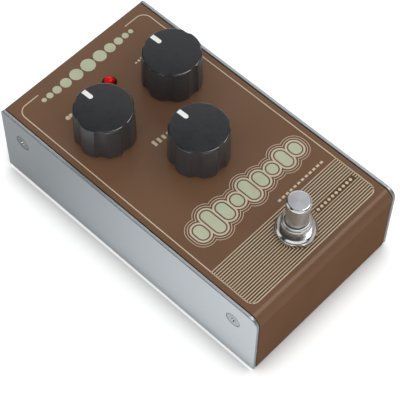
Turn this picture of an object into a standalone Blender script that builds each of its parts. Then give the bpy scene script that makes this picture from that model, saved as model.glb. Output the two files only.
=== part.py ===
"""An analog delay pedal, modelled piece by piece in metres.

The origin is the middle of the footprint on the floor. +X is the player's right, +Y is the rear, where
the sockets are, and +Z is up.
"""

import math

import bmesh
import bpy
from mathutils import Matrix, Vector

MM = 0.001

# Facets round a piece
SIDES = 20
FEW_SIDES = 14
KNOB_SIDES = 28

# Clearances
GAP = 0.3 * MM            # between pieces that touch
OVERRUN = 1.0 * MM        # how far a cutter passes a face
WELD = 0.001 * MM         # points closer than this are one

# Case
CASE_WIDTH = 74.0 * MM
CASE_DEPTH = 128.1 * MM
CASE_TOP = 36.05 * MM     # height of the panel above the floor
FLOOR_GAP = 1.5 * MM      # under the side plates
SHELL_DROP = 0.3 * MM     # how far the bent shell reaches below the side plates
SHEET = 1.5 * MM
REAR_BEND = 1.8 * MM
FRONT_BEND = 4.2 * MM
PLATE = 1.4 * MM
PLATE_REAR_CORNER = 1.5 * MM
PLATE_FRONT_CORNER = 4.0 * MM
PLATE_LOW_CORNER = 0.5 * MM
BASE_SHEET = 1.2 * MM
EAR_SETBACK = 0.2 * MM
EAR_LENGTH = 16.0 * MM
EAR_TOP_DROP = 4.5 * MM
SEAT_WIDTH = 10.0 * MM
SEAT_LENGTH = 9.0 * MM

# Fasteners and feet
SIDE_SCREW_IN = 10.75 * MM    # from the end of the case
SIDE_SCREW_DROP = 10.55 * MM  # below the panel
SCREW_HEAD = 3.05 * MM        # radius of a flat head
SCREW_RIM = 0.25 * MM
SCREW_CONE = 0.95 * MM
SCREW_SHANK = 1.25 * MM
SCREW_LENGTH = 6.0 * MM
SCREW_TIP = 0.5 * MM
RECESS_WIDTH = 0.7 * MM
RECESS_REACH_SHARE = 0.5      # of the head's radius
RECESS_DEPTH_SHARE = 0.8      # of the cone's height
BASE_SCREW_HEAD = 2.5 * MM
BASE_SCREW_CONE = 0.75 * MM
BASE_SCREW_SIDE = 5.5 * MM    # in from the shell's side
BASE_SCREW_IN = 4.5 * MM      # in from the wall
FOOT_RADIUS = 6.0 * MM
FOOT_IN = 19.0 * MM
FOOT_SIDE = 9.0 * MM
FOOT_CHAMFER = 0.4 * MM
STEM_RADIUS = 2.2 * MM
BARB_RADIUS = 2.9 * MM
BARB_HEIGHT = 0.9 * MM

# Knobs
KNOB_SPACING = 35.0 * MM
KNOB_ROW_IN = 35.32 * MM      # from the rear of the case
REPEATS_IN = 65.82 * MM
KNOB_LIFT = 0.5 * MM
KNOB_HEIGHT = 16.6 * MM       # from the panel to the top face
KNOB_FLAT = 10.5 * MM
KNOB_SHOULDER = 11.25 * MM
KNOB_SKIRT = 11.5 * MM
SHOULDER_DROP = 1.05 * MM
FLUTES = 7
FLUTE_FLOOR = 10.45 * MM      # least distance from the axis to a flute
FLUTE_RADIUS = 4.1 * MM
KNOB_RECESS = 7.5 * MM
KNOB_RECESS_DEPTH = 5.0 * MM
POINTER_WIDTH = 1.85 * MM
POINTER_OUT = 10.45 * MM
POINTER_IN = 5.7 * MM
POINTER_DEPTH = 1.0 * MM

# Potentiometers
POT_WIDTH = 11.6 * MM
POT_DEPTH = 11.0 * MM
POT_HEIGHT = 6.85 * MM
POT_BUSH = 3.5 * MM
POT_BUSH_RISE = 4.0 * MM      # above the panel
POT_WELL = 2.0 * MM
SHAFT_JOURNAL = 2.6 * MM
SHAFT_RADIUS = 3.0 * MM
SHAFT_FLAT = 1.5 * MM         # from the axis to the flat
SHAFT_TOP_DROP = 3.2 * MM     # below the knob's top face
SHAFT_FLAT_LENGTH = 6.5 * MM
POT_NUT_FLATS = 10.0 * MM
POT_NUT_HEIGHT = 2.0 * MM

# Lamp
LAMP_IN = 19.65 * MM          # from the rear of the case
LAMP_RADIUS = 2.5 * MM
LAMP_RISE = 2.2 * MM
LAMP_HEIGHT = 8.6 * MM
LAMP_FLANGE = 2.9 * MM
LAMP_FLANGE_HEIGHT = 1.0 * MM
SPACER_BORE = 1.4 * MM

# Foot switch
SWITCH_IN = 15.55 * MM        # from the front of the case
CAP_RISE = 19.2 * MM          # top of the cap above the panel
CAP_FLAT = 3.93 * MM
CAP_RADIUS = 4.64 * MM
CAP_CHAMFER = 1.0 * MM
STEM_TAPER_RADIUS = 4.25 * MM
BUSH_RADIUS = 5.75 * MM
BUSH_LIP = 4.75 * MM
BUSH_RISE = 6.8 * MM          # outer edge of the bush above the panel
BUSH_LIP_RISE = 0.8 * MM
SWITCH_NUT_FLATS = 15.0 * MM
SWITCH_NUT_HEIGHT = 3.6 * MM
SWITCH_NUT_SIDE = 1.9 * MM
SWITCH_NUT_ROUND = 7.9 * MM   # radius to which the nut's corners are turned off
SWITCH_NUT_TURN = math.radians(47)   # a flat faces the front left
LOWER_NUT_HEIGHT = 2.5 * MM
WASHER_RADIUS = 8.5 * MM
WASHER_HEIGHT = 0.8 * MM
SWITCH_WIDTH = 17.4 * MM
SWITCH_HEIGHT = 17.0 * MM
SWITCH_WELL = 6.0 * MM
SWITCH_ROOF = 1.5 * MM
SWITCH_WELL_DEPTH = 11.0 * MM
COLLAR_RADIUS = 5.4 * MM
COLLAR_HEIGHT = 1.5 * MM
SWITCH_TRAVEL = 3.0 * MM
SPRING_RADIUS = 3.6 * MM
SPRING_WIRE = 0.35 * MM
SPRING_TURNS = 4.5
LUG_WIDTH = 2.2 * MM
LUG_THICK = 0.8 * MM
LUG_LENGTH = 4.0 * MM
LUG_PITCH = 5.2 * MM

# Sockets
NOSE_REACH = 4.0 * MM         # of a signal socket behind the case
JACK_SIDE_GAP = 4.1 * MM      # between a signal socket's body and the ear beside it
JACK_WIDTH = 17.0 * MM
JACK_HEIGHT = 15.5 * MM
JACK_LENGTH = 24.0 * MM
NOSE_RADIUS = 4.7 * MM
JACK_BORE = 3.3 * MM
JACK_BORE_DEPTH = 27.0 * MM
JACK_NUT_FLATS = 13.0 * MM
JACK_NUT_HEIGHT = 2.2 * MM
JACK_WASHER_RADIUS = 6.8 * MM
JACK_WASHER_HEIGHT = 0.6 * MM
POWER_WIDTH = 11.6 * MM
POWER_HEIGHT = 11.4 * MM
POWER_LENGTH = 13.0 * MM
POWER_NOSE = 5.2 * MM
POWER_BORE = 3.2 * MM
POWER_BORE_DEPTH = 10.5 * MM
PIN_RADIUS = 1.0 * MM
PIN_SHORT = 1.0 * MM          # how far the pin stops short of the mouth

# Board and what it carries
BOARD = 1.6 * MM
BOARD_SIDE_GAP = 3.0 * MM
BOARD_REAR_GAP = 1.5 * MM
BOARD_FRONT_GAP = 0.8 * MM    # to the foot switch
CHIP_WIDTH = 6.4 * MM
CHIP_HEIGHT = 3.3 * MM
CHIP_STAND = 0.5 * MM
CHIP_END = 0.75 * MM          # of the body beyond the middle of its last leg
DELAY_CHIP_LEGS = 7           # a side
CLOCK_CHIP_LEGS = 4
LEG_PITCH = 2.54 * MM
LEG_WIDTH = 0.5 * MM
LEG_SPAN = 7.6 * MM
LEG_HEIGHT = 1.9 * MM
CHIP_IN = 52.0 * MM           # from the rear of the case
CHIP_SIDE = 13.0 * MM
CAN_RADIUS = 3.15 * MM
CAN_HEIGHT = 11.0 * MM
CAN_ROUND = 0.6 * MM
CAN_SIDE_IN = 6.6 * MM        # from the side of the board to a can's axis
CAN_IN = 40.0 * MM
TRIMMER_WIDTH = 7.0 * MM
TRIMMER_HEIGHT = 4.2 * MM
TRIMMER_ROTOR = 2.4 * MM
TRIMMER_WELL = 1.8 * MM
TRIMMER_SLOT = 0.6 * MM
TRIMMER_IN = 38.0 * MM

# Battery
BATTERY_LENGTH = 48.5 * MM
BATTERY_WIDTH = 26.5 * MM
BATTERY_HEIGHT = 17.5 * MM
BATTERY_ROUND = 1.5 * MM
BATTERY_IN = 30.5 * MM        # its front edge, from the front of the case
BATTERY_SHIFT = 3.0 * MM      # towards the left
TERMINAL_SPACING = 12.7 * MM
TERMINAL_RISE = 2.2 * MM
TERMINAL_SMALL = 2.8 * MM
TERMINAL_LARGE = 3.8 * MM
SNAP_WIDTH = 24.5 * MM
SNAP_HEIGHT = 12.5 * MM
SNAP_THICK = 4.0 * MM
LEAD_RADIUS = 0.65 * MM
LEAD_RISE = 4.0 * MM          # of a lead's run above the battery snap
LEAD_RUN = 22.0 * MM
RIBBON_WIDTH = 9.0 * MM
RIBBON_THICK = 0.9 * MM
RIBBON_OUT = 1.4 * MM
RIBBON_DROP = 8.0 * MM

# Heights and places that follow from the sizes above
HALF_WIDTH = CASE_WIDTH / 2
FRONT = -(CASE_DEPTH + NOSE_REACH) / 2
REAR = FRONT + CASE_DEPTH
SHELL_BOTTOM = FLOOR_GAP - SHELL_DROP
SHELL_HALF = HALF_WIDTH - PLATE - GAP
PANEL_UNDER = CASE_TOP - SHEET
BASE_BOTTOM = FLOOR_GAP
BASE_TOP = BASE_BOTTOM + BASE_SHEET
POT_TOP = PANEL_UNDER - GAP
BOARD_TOP = POT_TOP - POT_HEIGHT - GAP
BOARD_BOTTOM = BOARD_TOP - BOARD
SWITCH_Y = FRONT + SWITCH_IN
KNOB_PLACES = {
    "time": (-KNOB_SPACING / 2, REAR - KNOB_ROW_IN),
    "mix": (KNOB_SPACING / 2, REAR - KNOB_ROW_IN),
    "repeats": (0, REAR - REPEATS_IN),
}
CORNERS = [(side, end) for end in (-1, 1) for side in (-1, 1)]


def clear_scene():
    for thing in list(bpy.data.objects):
        bpy.data.objects.remove(thing, do_unlink=True)


def new_collection(name):
    collection = bpy.data.collections.new(name)
    bpy.context.scene.collection.children.link(collection)
    return collection


def finish(name, colour, roughness, metallic=0.0):
    """A plain material of one colour."""
    material = bpy.data.materials.new(name)
    material.use_nodes = True
    shader = material.node_tree.nodes["Principled BSDF"]
    shader.inputs["Base Color"].default_value = (*colour, 1)
    shader.inputs["Roughness"].default_value = roughness
    shader.inputs["Metallic"].default_value = metallic
    material.diffuse_color = (*colour, 1)
    return material


clear_scene()
PARTS = new_collection("delay_pedal")
CUTTERS = new_collection("cutters")

BROWN_PAINT = finish("brown_paint", (0.15, 0.08, 0.05), 0.45)
ALUMINIUM = finish("satin_aluminium", (0.68, 0.70, 0.72), 0.35, 1)
STEEL = finish("zinc_steel", (0.60, 0.60, 0.58), 0.35, 1)
CHROME = finish("chrome", (0.80, 0.80, 0.80), 0.08, 1)
BRASS = finish("nickelled_brass", (0.70, 0.66, 0.58), 0.25, 1)
BLACK_KNOB = finish("black_knob", (0.02, 0.02, 0.022), 0.3)
BLACK_PLASTIC = finish("black_plastic", (0.03, 0.03, 0.03), 0.5)
WHITE_PLASTIC = finish("white_plastic", (0.85, 0.85, 0.83), 0.4)
RED_LENS = finish("red_lens", (0.65, 0.01, 0.01), 0.1)
RUBBER = finish("black_rubber", (0.025, 0.025, 0.025), 0.8)
BOARD_GREEN = finish("board_green", (0.02, 0.16, 0.07), 0.4)
BATTERY_WRAP = finish("battery_wrap", (0.12, 0.12, 0.13), 0.35)
RED_WIRE = finish("red_wire", (0.6, 0.03, 0.02), 0.45)
BLACK_WIRE = finish("black_wire", (0.02, 0.02, 0.02), 0.45)
GREY_RIBBON = finish("grey_ribbon", (0.45, 0.45, 0.47), 0.5)
BLUE_SLEEVE = finish("blue_sleeve", (0.03, 0.06, 0.2), 0.35)
CREAM_PLASTIC = finish("cream_plastic", (0.7, 0.66, 0.5), 0.45)


# Making and joining shapes

def part(name, mesh, material, place=(0, 0, 0)):
    """A piece of the pedal, from a mesh around its own origin."""
    mesh.materials.append(material)
    thing = bpy.data.objects.new(name, mesh)
    thing.location = place
    PARTS.objects.link(thing)
    return thing


def cutter(name, mesh, place=(0, 0, 0)):
    """A helper shape that only cuts or joins."""
    thing = bpy.data.objects.new(name, mesh)
    thing.location = place
    thing.hide_render = True
    thing.display_type = "WIRE"
    CUTTERS.objects.link(thing)
    return thing


def combine(target, other, operation):
    boolean = target.modifiers.new(f"{operation.lower()} {other.name}", "BOOLEAN")
    boolean.operation = operation
    boolean.solver = "EXACT"
    boolean.object = other


def cut(target, mesh, place=(0, 0, 0)):
    combine(target, cutter(mesh.name, mesh, place), "DIFFERENCE")


def add(target, mesh, place=(0, 0, 0)):
    combine(target, cutter(mesh.name, mesh, place), "UNION")


def mesh_from(bm, name):
    mesh = bpy.data.meshes.new(name)
    bmesh.ops.recalc_face_normals(bm, faces=bm.faces)
    if bm.calc_volume(signed=True) < 0:
        bmesh.ops.reverse_faces(bm, faces=bm.faces)
    bm.to_mesh(mesh)
    bm.free()
    return mesh


def block(name, low, high):
    """A box between two corners."""
    low, high = Vector(low), Vector(high)
    bm = bmesh.new()
    bmesh.ops.create_cube(bm, size=1)
    bmesh.ops.scale(bm, vec=high - low, verts=bm.verts)
    bmesh.ops.translate(bm, vec=(low + high) / 2, verts=bm.verts)
    return mesh_from(bm, name)


def blocks(name, boxes):
    """Several boxes that don't touch, as one mesh."""
    bm = bmesh.new()
    for low, high in boxes:
        bm.from_mesh(block(name, low, high))
    return mesh_from(bm, name)


def turn_to(axis):
    """The rotation that takes +Z to an axis."""
    return Vector((0, 0, 1)).rotation_difference(Vector(axis)).to_matrix().to_4x4()


def rod(name, radius, length, start=(0, 0, 0), axis=(0, 0, 1), sides=SIDES, far_radius=None, turn=0):
    """A cylinder or cone that starts at a point and runs along an axis."""
    bm = bmesh.new()
    far = radius if far_radius is None else far_radius
    bmesh.ops.create_cone(
        bm, cap_ends=True, segments=sides, radius1=radius, radius2=far, depth=length
    )
    lift = Matrix.Translation((0, 0, length / 2))
    place = Matrix.Translation(start) @ turn_to(axis) @ Matrix.Rotation(turn, 4, "Z") @ lift
    bmesh.ops.transform(bm, matrix=place, verts=bm.verts)
    return mesh_from(bm, name)


def rods(name, radius, length, starts, sides):
    """Several equal cylinders that don't touch, as one mesh."""
    bm = bmesh.new()
    for start in starts:
        bm.from_mesh(rod(name, radius, length, start, sides=sides))
    return mesh_from(bm, name)


def profile_mesh(name, profile):
    """Radii and heights as a line of edges, closed where it doesn't start on the axis."""
    mesh = bpy.data.meshes.new(name)
    points = [(radius, 0, height) for radius, height in profile]
    edges = [(i, i + 1) for i in range(len(points) - 1)]
    if profile[0][0] > 0:
        edges.append((len(points) - 1, 0))
    mesh.from_pydata(points, edges, [])
    return mesh


def spin(thing, steps, axis):
    """Turns a profile into a solid about its own axis."""
    thing.rotation_euler = turn_to(axis).to_euler()
    screw = thing.modifiers.new("turn", "SCREW")
    screw.steps = steps
    screw.render_steps = steps
    screw.use_merge_vertices = True
    screw.merge_threshold = WELD
    screw.use_smooth_shade = True


def turned(name, profile, material, place=(0, 0, 0), steps=SIDES, axis=(0, 0, 1)):
    """A solid of revolution. The profile runs down its outer side, from top to bottom."""
    thing = part(name, profile_mesh(name, profile), material, place)
    spin(thing, steps, axis)
    return thing


def turned_cutter(name, profile, place=(0, 0, 0), steps=SIDES, axis=(0, 0, 1)):
    thing = cutter(name, profile_mesh(name, profile), place)
    spin(thing, steps, axis)
    return thing


def rounded(corners, radii, steps=4):
    """The points of a path whose corners are arcs. Its two ends stay as they are."""
    points = [Vector(corners[0])]
    for i in range(1, len(corners) - 1):
        corner = Vector(corners[i])
        back = (Vector(corners[i - 1]) - corner).normalized()
        ahead = (Vector(corners[i + 1]) - corner).normalized()
        half = back.angle(ahead) / 2
        centre = corner + (back + ahead).normalized() * radii[i] / math.sin(half)
        first = corner + back * radii[i] / math.tan(half) - centre
        sweep = math.copysign(math.pi - 2 * half, ahead.cross(back))
        for k in range(steps + 1):
            points.append(centre + Matrix.Rotation(sweep * k / steps, 2) @ first)
    points.append(Vector(corners[-1]))
    return points


def ring_corners(corners, radii, steps=4):
    """A closed outline whose corners are arcs."""
    start = (Vector(corners[0]) + Vector(corners[-1])) / 2
    path = [start, *[Vector(corner) for corner in corners], start]
    return rounded(path, [0, *radii, 0], steps)[:-1]


def extruded(name, outline, low, high):
    """A flat outline in the YZ plane, given thickness along X from low to high."""
    curve = bpy.data.curves.new(name, "CURVE")
    curve.dimensions = "2D"
    curve.fill_mode = "BOTH"
    curve.extrude = (high - low) / 2
    spline = curve.splines.new("POLY")
    spline.points.add(len(outline) - 1)
    for point, (y, z) in zip(spline.points, outline):
        point.co = (y, z, 0, 1)
    spline.use_cyclic_u = True
    to_yz = Matrix(((0, 0, 1, (low + high) / 2), (1, 0, 0, 0), (0, 1, 0, 0), (0, 0, 0, 1)))
    return mesh_of_curve(name, curve, to_yz)


def mesh_of_curve(name, curve, matrix):
    """The curve's solid as a mesh with its caps welded on."""
    guide = bpy.data.objects.new(name, curve)
    bpy.context.scene.collection.objects.link(guide)
    graph = bpy.context.evaluated_depsgraph_get()
    mesh = bpy.data.meshes.new_from_object(guide.evaluated_get(graph))
    bpy.data.objects.remove(guide, do_unlink=True)
    bm = bmesh.new()
    bm.from_mesh(mesh)
    bmesh.ops.remove_doubles(bm, verts=bm.verts, dist=WELD)
    bmesh.ops.transform(bm, matrix=matrix, verts=bm.verts)
    bpy.data.meshes.remove(mesh)
    return mesh_from(bm, name)


def tube(name, points, radius, material, resolution=2):
    """A round wire along a path of points."""
    curve = bpy.data.curves.new(name, "CURVE")
    curve.dimensions = "3D"
    curve.bevel_depth = radius
    curve.bevel_resolution = resolution
    curve.use_fill_caps = True
    spline = curve.splines.new("POLY")
    spline.points.add(len(points) - 1)
    for knot, place in zip(spline.points, points):
        knot.co = (*place, 1)
    return part(name, mesh_of_curve(name, curve, Matrix.Identity(4)), material)


def smooth_path(knots, per_span=3):
    """Points along a smooth curve through the knots."""
    knots = [Vector(knot) for knot in knots]
    padded = [2 * knots[0] - knots[1], *knots, 2 * knots[-1] - knots[-2]]
    points = []
    for i in range(1, len(padded) - 2):
        before, start, end, after = padded[i - 1:i + 3]
        for k in range(per_span):
            t = k / per_span
            points.append(0.5 * (
                2 * start
                + (end - before) * t
                + (2 * before - 5 * start + 4 * end - after) * t * t
                + (3 * start - before - 3 * end + after) * t ** 3
            ))
    points.append(knots[-1])
    return points


def flatted_rod(name, radius, flat, length, start):
    """A rod with a D-shaped section, its flat facing -Y."""
    bm = bmesh.new()
    bm.from_mesh(rod(name, radius, length, start))
    bmesh.ops.bisect_plane(
        bm,
        geom=[*bm.verts, *bm.edges, *bm.faces],
        plane_co=(0, -flat, 0),
        plane_no=(0, -1, 0),
        clear_outer=True,
    )
    bmesh.ops.holes_fill(bm, edges=bm.edges)
    return mesh_from(bm, name)


def hex_nut(name, flats, bore, height, material, place, axis=(0, 0, 1)):
    """A plain hexagonal nut that stands on its place."""
    corner = flats / math.sqrt(3)
    thing = part(name, rod(name, corner, height, axis=axis, sides=6), material, place)
    start = Vector(axis) * -OVERRUN
    cut(thing, rod(f"{name}_bore", bore, height + 2 * OVERRUN, start, axis), place)


def ring(name, outer, inner, height, material, place, axis=(0, 0, 1)):
    """A flat washer that stands on its place."""
    profile = [(outer, height), (outer, 0), (inner, 0), (inner, height)]
    turned(name, profile, material, place, axis=axis)


# Case

def wall_place(end, inward):
    """The Y at a distance inward from the case's front (-1) or rear (1)."""
    return FRONT + inward if end < 0 else REAR - inward


def span(a, b):
    return min(a, b), max(a, b)


def top_shell():
    outer = rounded(
        [(REAR, SHELL_BOTTOM), (REAR, CASE_TOP), (FRONT, CASE_TOP), (FRONT, SHELL_BOTTOM)],
        [0, REAR_BEND, FRONT_BEND, 0],
    )
    rear, front = REAR - SHEET, FRONT + SHEET
    inner = rounded(
        [(rear, SHELL_BOTTOM), (rear, PANEL_UNDER), (front, PANEL_UNDER), (front, SHELL_BOTTOM)],
        [0, max(REAR_BEND - SHEET, GAP), max(FRONT_BEND - SHEET, GAP), 0],
    )
    outline = [*outer, *reversed(inner)]
    shell = part("top_shell", extruded("top_shell", outline, -SHELL_HALF, SHELL_HALF), BROWN_PAINT)
    for side, end in CORNERS:
        add_corner(shell, side, end)
    for name, (x, y) in KNOB_PLACES.items():
        panel_hole(shell, f"{name}_hole", POT_BUSH + GAP, x, y)
    panel_hole(shell, "lamp_hole", LAMP_RADIUS + GAP, 0, REAR - LAMP_IN)
    panel_hole(shell, "switch_hole", BUSH_RADIUS + GAP, 0, SWITCH_Y)
    for name, side in (("input", 1), ("output", -1)):
        rear_hole(shell, f"{name}_socket_hole", NOSE_RADIUS + GAP, side * jack_side(), jack_height())
    rear_hole(shell, "power_socket_hole", POWER_NOSE + GAP, 0, power_height())
    for side, end in CORNERS:
        x = side * (SHELL_HALF + OVERRUN)
        y = wall_place(end, SIDE_SCREW_IN)
        hole = rod(
            f"ear_hole_{corner_number(side, end)}", SCREW_SHANK + GAP, 2 * OVERRUN + EAR_SETBACK + SHEET,
            axis=(-side, 0, 0), sides=FEW_SIDES,
        )
        cut(shell, hole, (x, y, CASE_TOP - SIDE_SCREW_DROP))


def corner_number(side, end):
    return CORNERS.index((side, end)) + 1


def add_corner(shell, side, end):
    """A folded ear behind the side plate, and the seat for a base screw at its foot."""
    number = corner_number(side, end)
    outer = SHELL_HALF - EAR_SETBACK
    low_z = BASE_TOP + GAP
    ear_x = span(side * outer, side * (outer - SHEET))
    ear_y = span(wall_place(end, SHEET / 2), wall_place(end, SHEET + EAR_LENGTH))
    ear_z = (low_z, PANEL_UNDER - EAR_TOP_DROP)
    ear = block(f"ear_{number}", *zip(ear_x, ear_y, ear_z))
    add(shell, ear)
    seat_x = span(side * (outer - SHEET / 2), side * (outer - SHEET / 2 - SEAT_WIDTH))
    seat_y = span(wall_place(end, SHEET / 2), wall_place(end, SHEET + SEAT_LENGTH))
    seat = block(f"seat_{number}", *zip(seat_x, seat_y, (low_z, low_z + SHEET)))
    add(shell, seat)
    x, y = base_screw_place(side, end)
    hole = rod(f"seat_hole_{number}", SCREW_SHANK + GAP, SHEET + 2 * OVERRUN, sides=FEW_SIDES)
    cut(shell, hole, (x, y, low_z - OVERRUN))


def panel_hole(shell, name, radius, x, y):
    cut(shell, rod(name, radius, SHEET + 2 * OVERRUN), (x, y, PANEL_UNDER - OVERRUN))


def rear_hole(shell, name, radius, x, z):
    cut(shell, rod(name, radius, SHEET + 2 * OVERRUN, axis=(0, 1, 0)), (x, REAR - SHEET - OVERRUN, z))


def side_plate(name, side):
    corners = [(REAR, FLOOR_GAP), (REAR, CASE_TOP), (FRONT, CASE_TOP), (FRONT, FLOOR_GAP)]
    radii = [PLATE_LOW_CORNER, PLATE_REAR_CORNER, PLATE_FRONT_CORNER, PLATE_LOW_CORNER]
    outline = ring_corners(corners, radii)
    low, high = span(side * HALF_WIDTH, side * (HALF_WIDTH - PLATE))
    plate = part(name, extruded(name, outline, low, high), ALUMINIUM)
    for end in (-1, 1):
        number = corner_number(side, end)
        place = (side * HALF_WIDTH, wall_place(end, SIDE_SCREW_IN), CASE_TOP - SIDE_SCREW_DROP)
        sink(plate, f"side_hole_{number}", SCREW_HEAD, SCREW_CONE, PLATE, place, (side, 0, 0))


def sink(plate, name, head, cone, sheet, place, out):
    """A countersunk hole with room for a flat-headed screw. Out is the way its head faces."""
    narrow = SCREW_SHANK + GAP
    profile = [
        (0, OVERRUN),
        (head + GAP, OVERRUN),
        (head + GAP, -SCREW_RIM),
        (narrow, -SCREW_RIM - cone),
        (narrow, -sheet - OVERRUN),
        (0, -sheet - OVERRUN),
    ]
    combine(plate, turned_cutter(name, profile, place, FEW_SIDES, out), "DIFFERENCE")


def flat_screw(name, head, cone, place, out):
    """A flat-headed screw with a cross recess, its head flush with the face at its place."""
    profile = [
        (0, 0),
        (head, 0),
        (head, -SCREW_RIM),
        (SCREW_SHANK, -SCREW_RIM - cone),
        (SCREW_SHANK, -SCREW_LENGTH + SCREW_TIP),
        (SCREW_SHANK - SCREW_TIP, -SCREW_LENGTH),
        (0, -SCREW_LENGTH),
    ]
    screw = turned(name, profile, STEEL, place, steps=FEW_SIDES, axis=out)
    half = RECESS_WIDTH / 2
    reach = head * RECESS_REACH_SHARE
    depth = cone * RECESS_DEPTH_SHARE
    bars = ((half, reach), (reach, half))
    for number, (wide, long) in enumerate(bars, 1):
        bar = block(f"{name}_slot_{number}", (-wide, -long, -depth), (wide, long, OVERRUN))
        bar.transform(turn_to(out))
        cut(screw, bar, place)


def side_screws():
    for side, end in CORNERS:
        place = (side * HALF_WIDTH, wall_place(end, SIDE_SCREW_IN), CASE_TOP - SIDE_SCREW_DROP)
        flat_screw(f"side_screw_{corner_number(side, end)}", SCREW_HEAD, SCREW_CONE, place, (side, 0, 0))


def base_screw_place(side, end):
    x = side * (SHELL_HALF - EAR_SETBACK - SHEET / 2 - BASE_SCREW_SIDE)
    return x, wall_place(end, SHEET + BASE_SCREW_IN)


def foot_place(side, end):
    return side * (SHELL_HALF - FOOT_SIDE), wall_place(end, FOOT_IN)


def base_plate():
    low = (-SHELL_HALF, FRONT + SHEET + GAP, BASE_BOTTOM)
    high = (SHELL_HALF, REAR - SHEET - GAP, BASE_TOP)
    plate = part("base_plate", block("base_plate", low, high), STEEL)
    for side, end in CORNERS:
        number = corner_number(side, end)
        place = (*base_screw_place(side, end), BASE_BOTTOM)
        sink(
            plate, f"base_hole_{number}", BASE_SCREW_HEAD, BASE_SCREW_CONE, BASE_SHEET, place,
            (0, 0, -1),
        )
        stem = rod(f"foot_hole_{number}", STEM_RADIUS + GAP, BASE_SHEET + 2 * OVERRUN, sides=FEW_SIDES)
        cut(plate, stem, (*foot_place(side, end), BASE_BOTTOM - OVERRUN))


def base_screws():
    for side, end in CORNERS:
        place = (*base_screw_place(side, end), BASE_BOTTOM)
        name = f"base_screw_{corner_number(side, end)}"
        flat_screw(name, BASE_SCREW_HEAD, BASE_SCREW_CONE, place, (0, 0, -1))


def rubber_feet():
    pad = BASE_BOTTOM - GAP
    barb = BASE_TOP + GAP
    for side, end in CORNERS:
        profile = [
            (0, barb + BARB_HEIGHT),
            (STEM_RADIUS - FOOT_CHAMFER, barb + BARB_HEIGHT),
            (BARB_RADIUS, barb),
            (STEM_RADIUS, barb),
            (STEM_RADIUS, pad),
            (FOOT_RADIUS, pad),
            (FOOT_RADIUS, FOOT_CHAMFER),
            (FOOT_RADIUS - FOOT_CHAMFER, 0),
            (0, 0),
        ]
        name = f"rubber_foot_{corner_number(side, end)}"
        turned(name, profile, RUBBER, (*foot_place(side, end), 0), steps=FEW_SIDES)


# Knobs and potentiometers

def knob(name, x, y):
    """A fluted knob around its own turning axis, with its pointer to the rear."""
    top = KNOB_HEIGHT
    shoulder = [
        (
            KNOB_FLAT + (KNOB_SHOULDER - KNOB_FLAT) * math.sin(angle),
            top - SHOULDER_DROP * (1 - math.cos(angle)),
        )
        for angle in (math.pi / 2 * k / 3 for k in range(4))
    ]
    under = KNOB_LIFT + KNOB_RECESS_DEPTH
    profile = [
        (0, top),
        *shoulder,
        (KNOB_SKIRT, KNOB_LIFT),
        (KNOB_RECESS, KNOB_LIFT),
        (KNOB_RECESS, under),
        (0, under),
    ]
    place = (x, y, CASE_TOP)
    body = turned(f"{name}_knob", profile, BLACK_KNOB, place, steps=KNOB_SIDES)
    reach = FLUTE_FLOOR + FLUTE_RADIUS
    angles = [math.pi / 2 + math.pi / FLUTES * (2 * k + 1) for k in range(FLUTES)]
    starts = [(reach * math.cos(a), reach * math.sin(a), -OVERRUN) for a in angles]
    flutes = rods(f"{name}_flutes", FLUTE_RADIUS, top + 2 * OVERRUN, starts, sides=KNOB_SIDES)
    cut(body, flutes, place)
    bore_top = KNOB_HEIGHT - SHAFT_TOP_DROP + GAP
    flat_foot = KNOB_HEIGHT - SHAFT_TOP_DROP - SHAFT_FLAT_LENGTH
    socket = rod(f"{name}_socket", SHAFT_RADIUS + 2 * GAP, flat_foot)
    cut(body, socket, place)
    keyed = flatted_rod(
        f"{name}_keyed_socket", SHAFT_RADIUS + GAP, SHAFT_FLAT + GAP, bore_top, (0, 0, 0),
    )
    cut(body, keyed, place)
    pocket = pointer_mesh(f"{name}_pocket", GAP, POINTER_DEPTH + GAP, OVERRUN)
    cut(body, pocket, (x, y, CASE_TOP + KNOB_HEIGHT))
    line = pointer_mesh(f"{name}_pointer", 0, POINTER_DEPTH, 0)
    part(f"{name}_pointer", line, WHITE_PLASTIC, (x, y, CASE_TOP + KNOB_HEIGHT))


def pointer_mesh(name, grow, depth, above):
    """The pointer line, square at the rim and round at its inner end, or the pocket that takes it."""
    half = POINTER_WIDTH / 2 + grow
    centre = POINTER_IN + POINTER_WIDTH / 2
    arc = [math.pi + math.pi * k / 8 for k in range(9)]
    outline = [(half * math.cos(a), centre + half * math.sin(a)) for a in arc]
    outline += [(half, POINTER_OUT + grow), (-half, POINTER_OUT + grow)]
    mesh = extruded(name, outline, -depth, above)
    mesh.transform(Matrix(((0, 1, 0, 0), (0, 0, 1, 0), (1, 0, 0, 0), (0, 0, 0, 1))))
    return mesh


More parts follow.
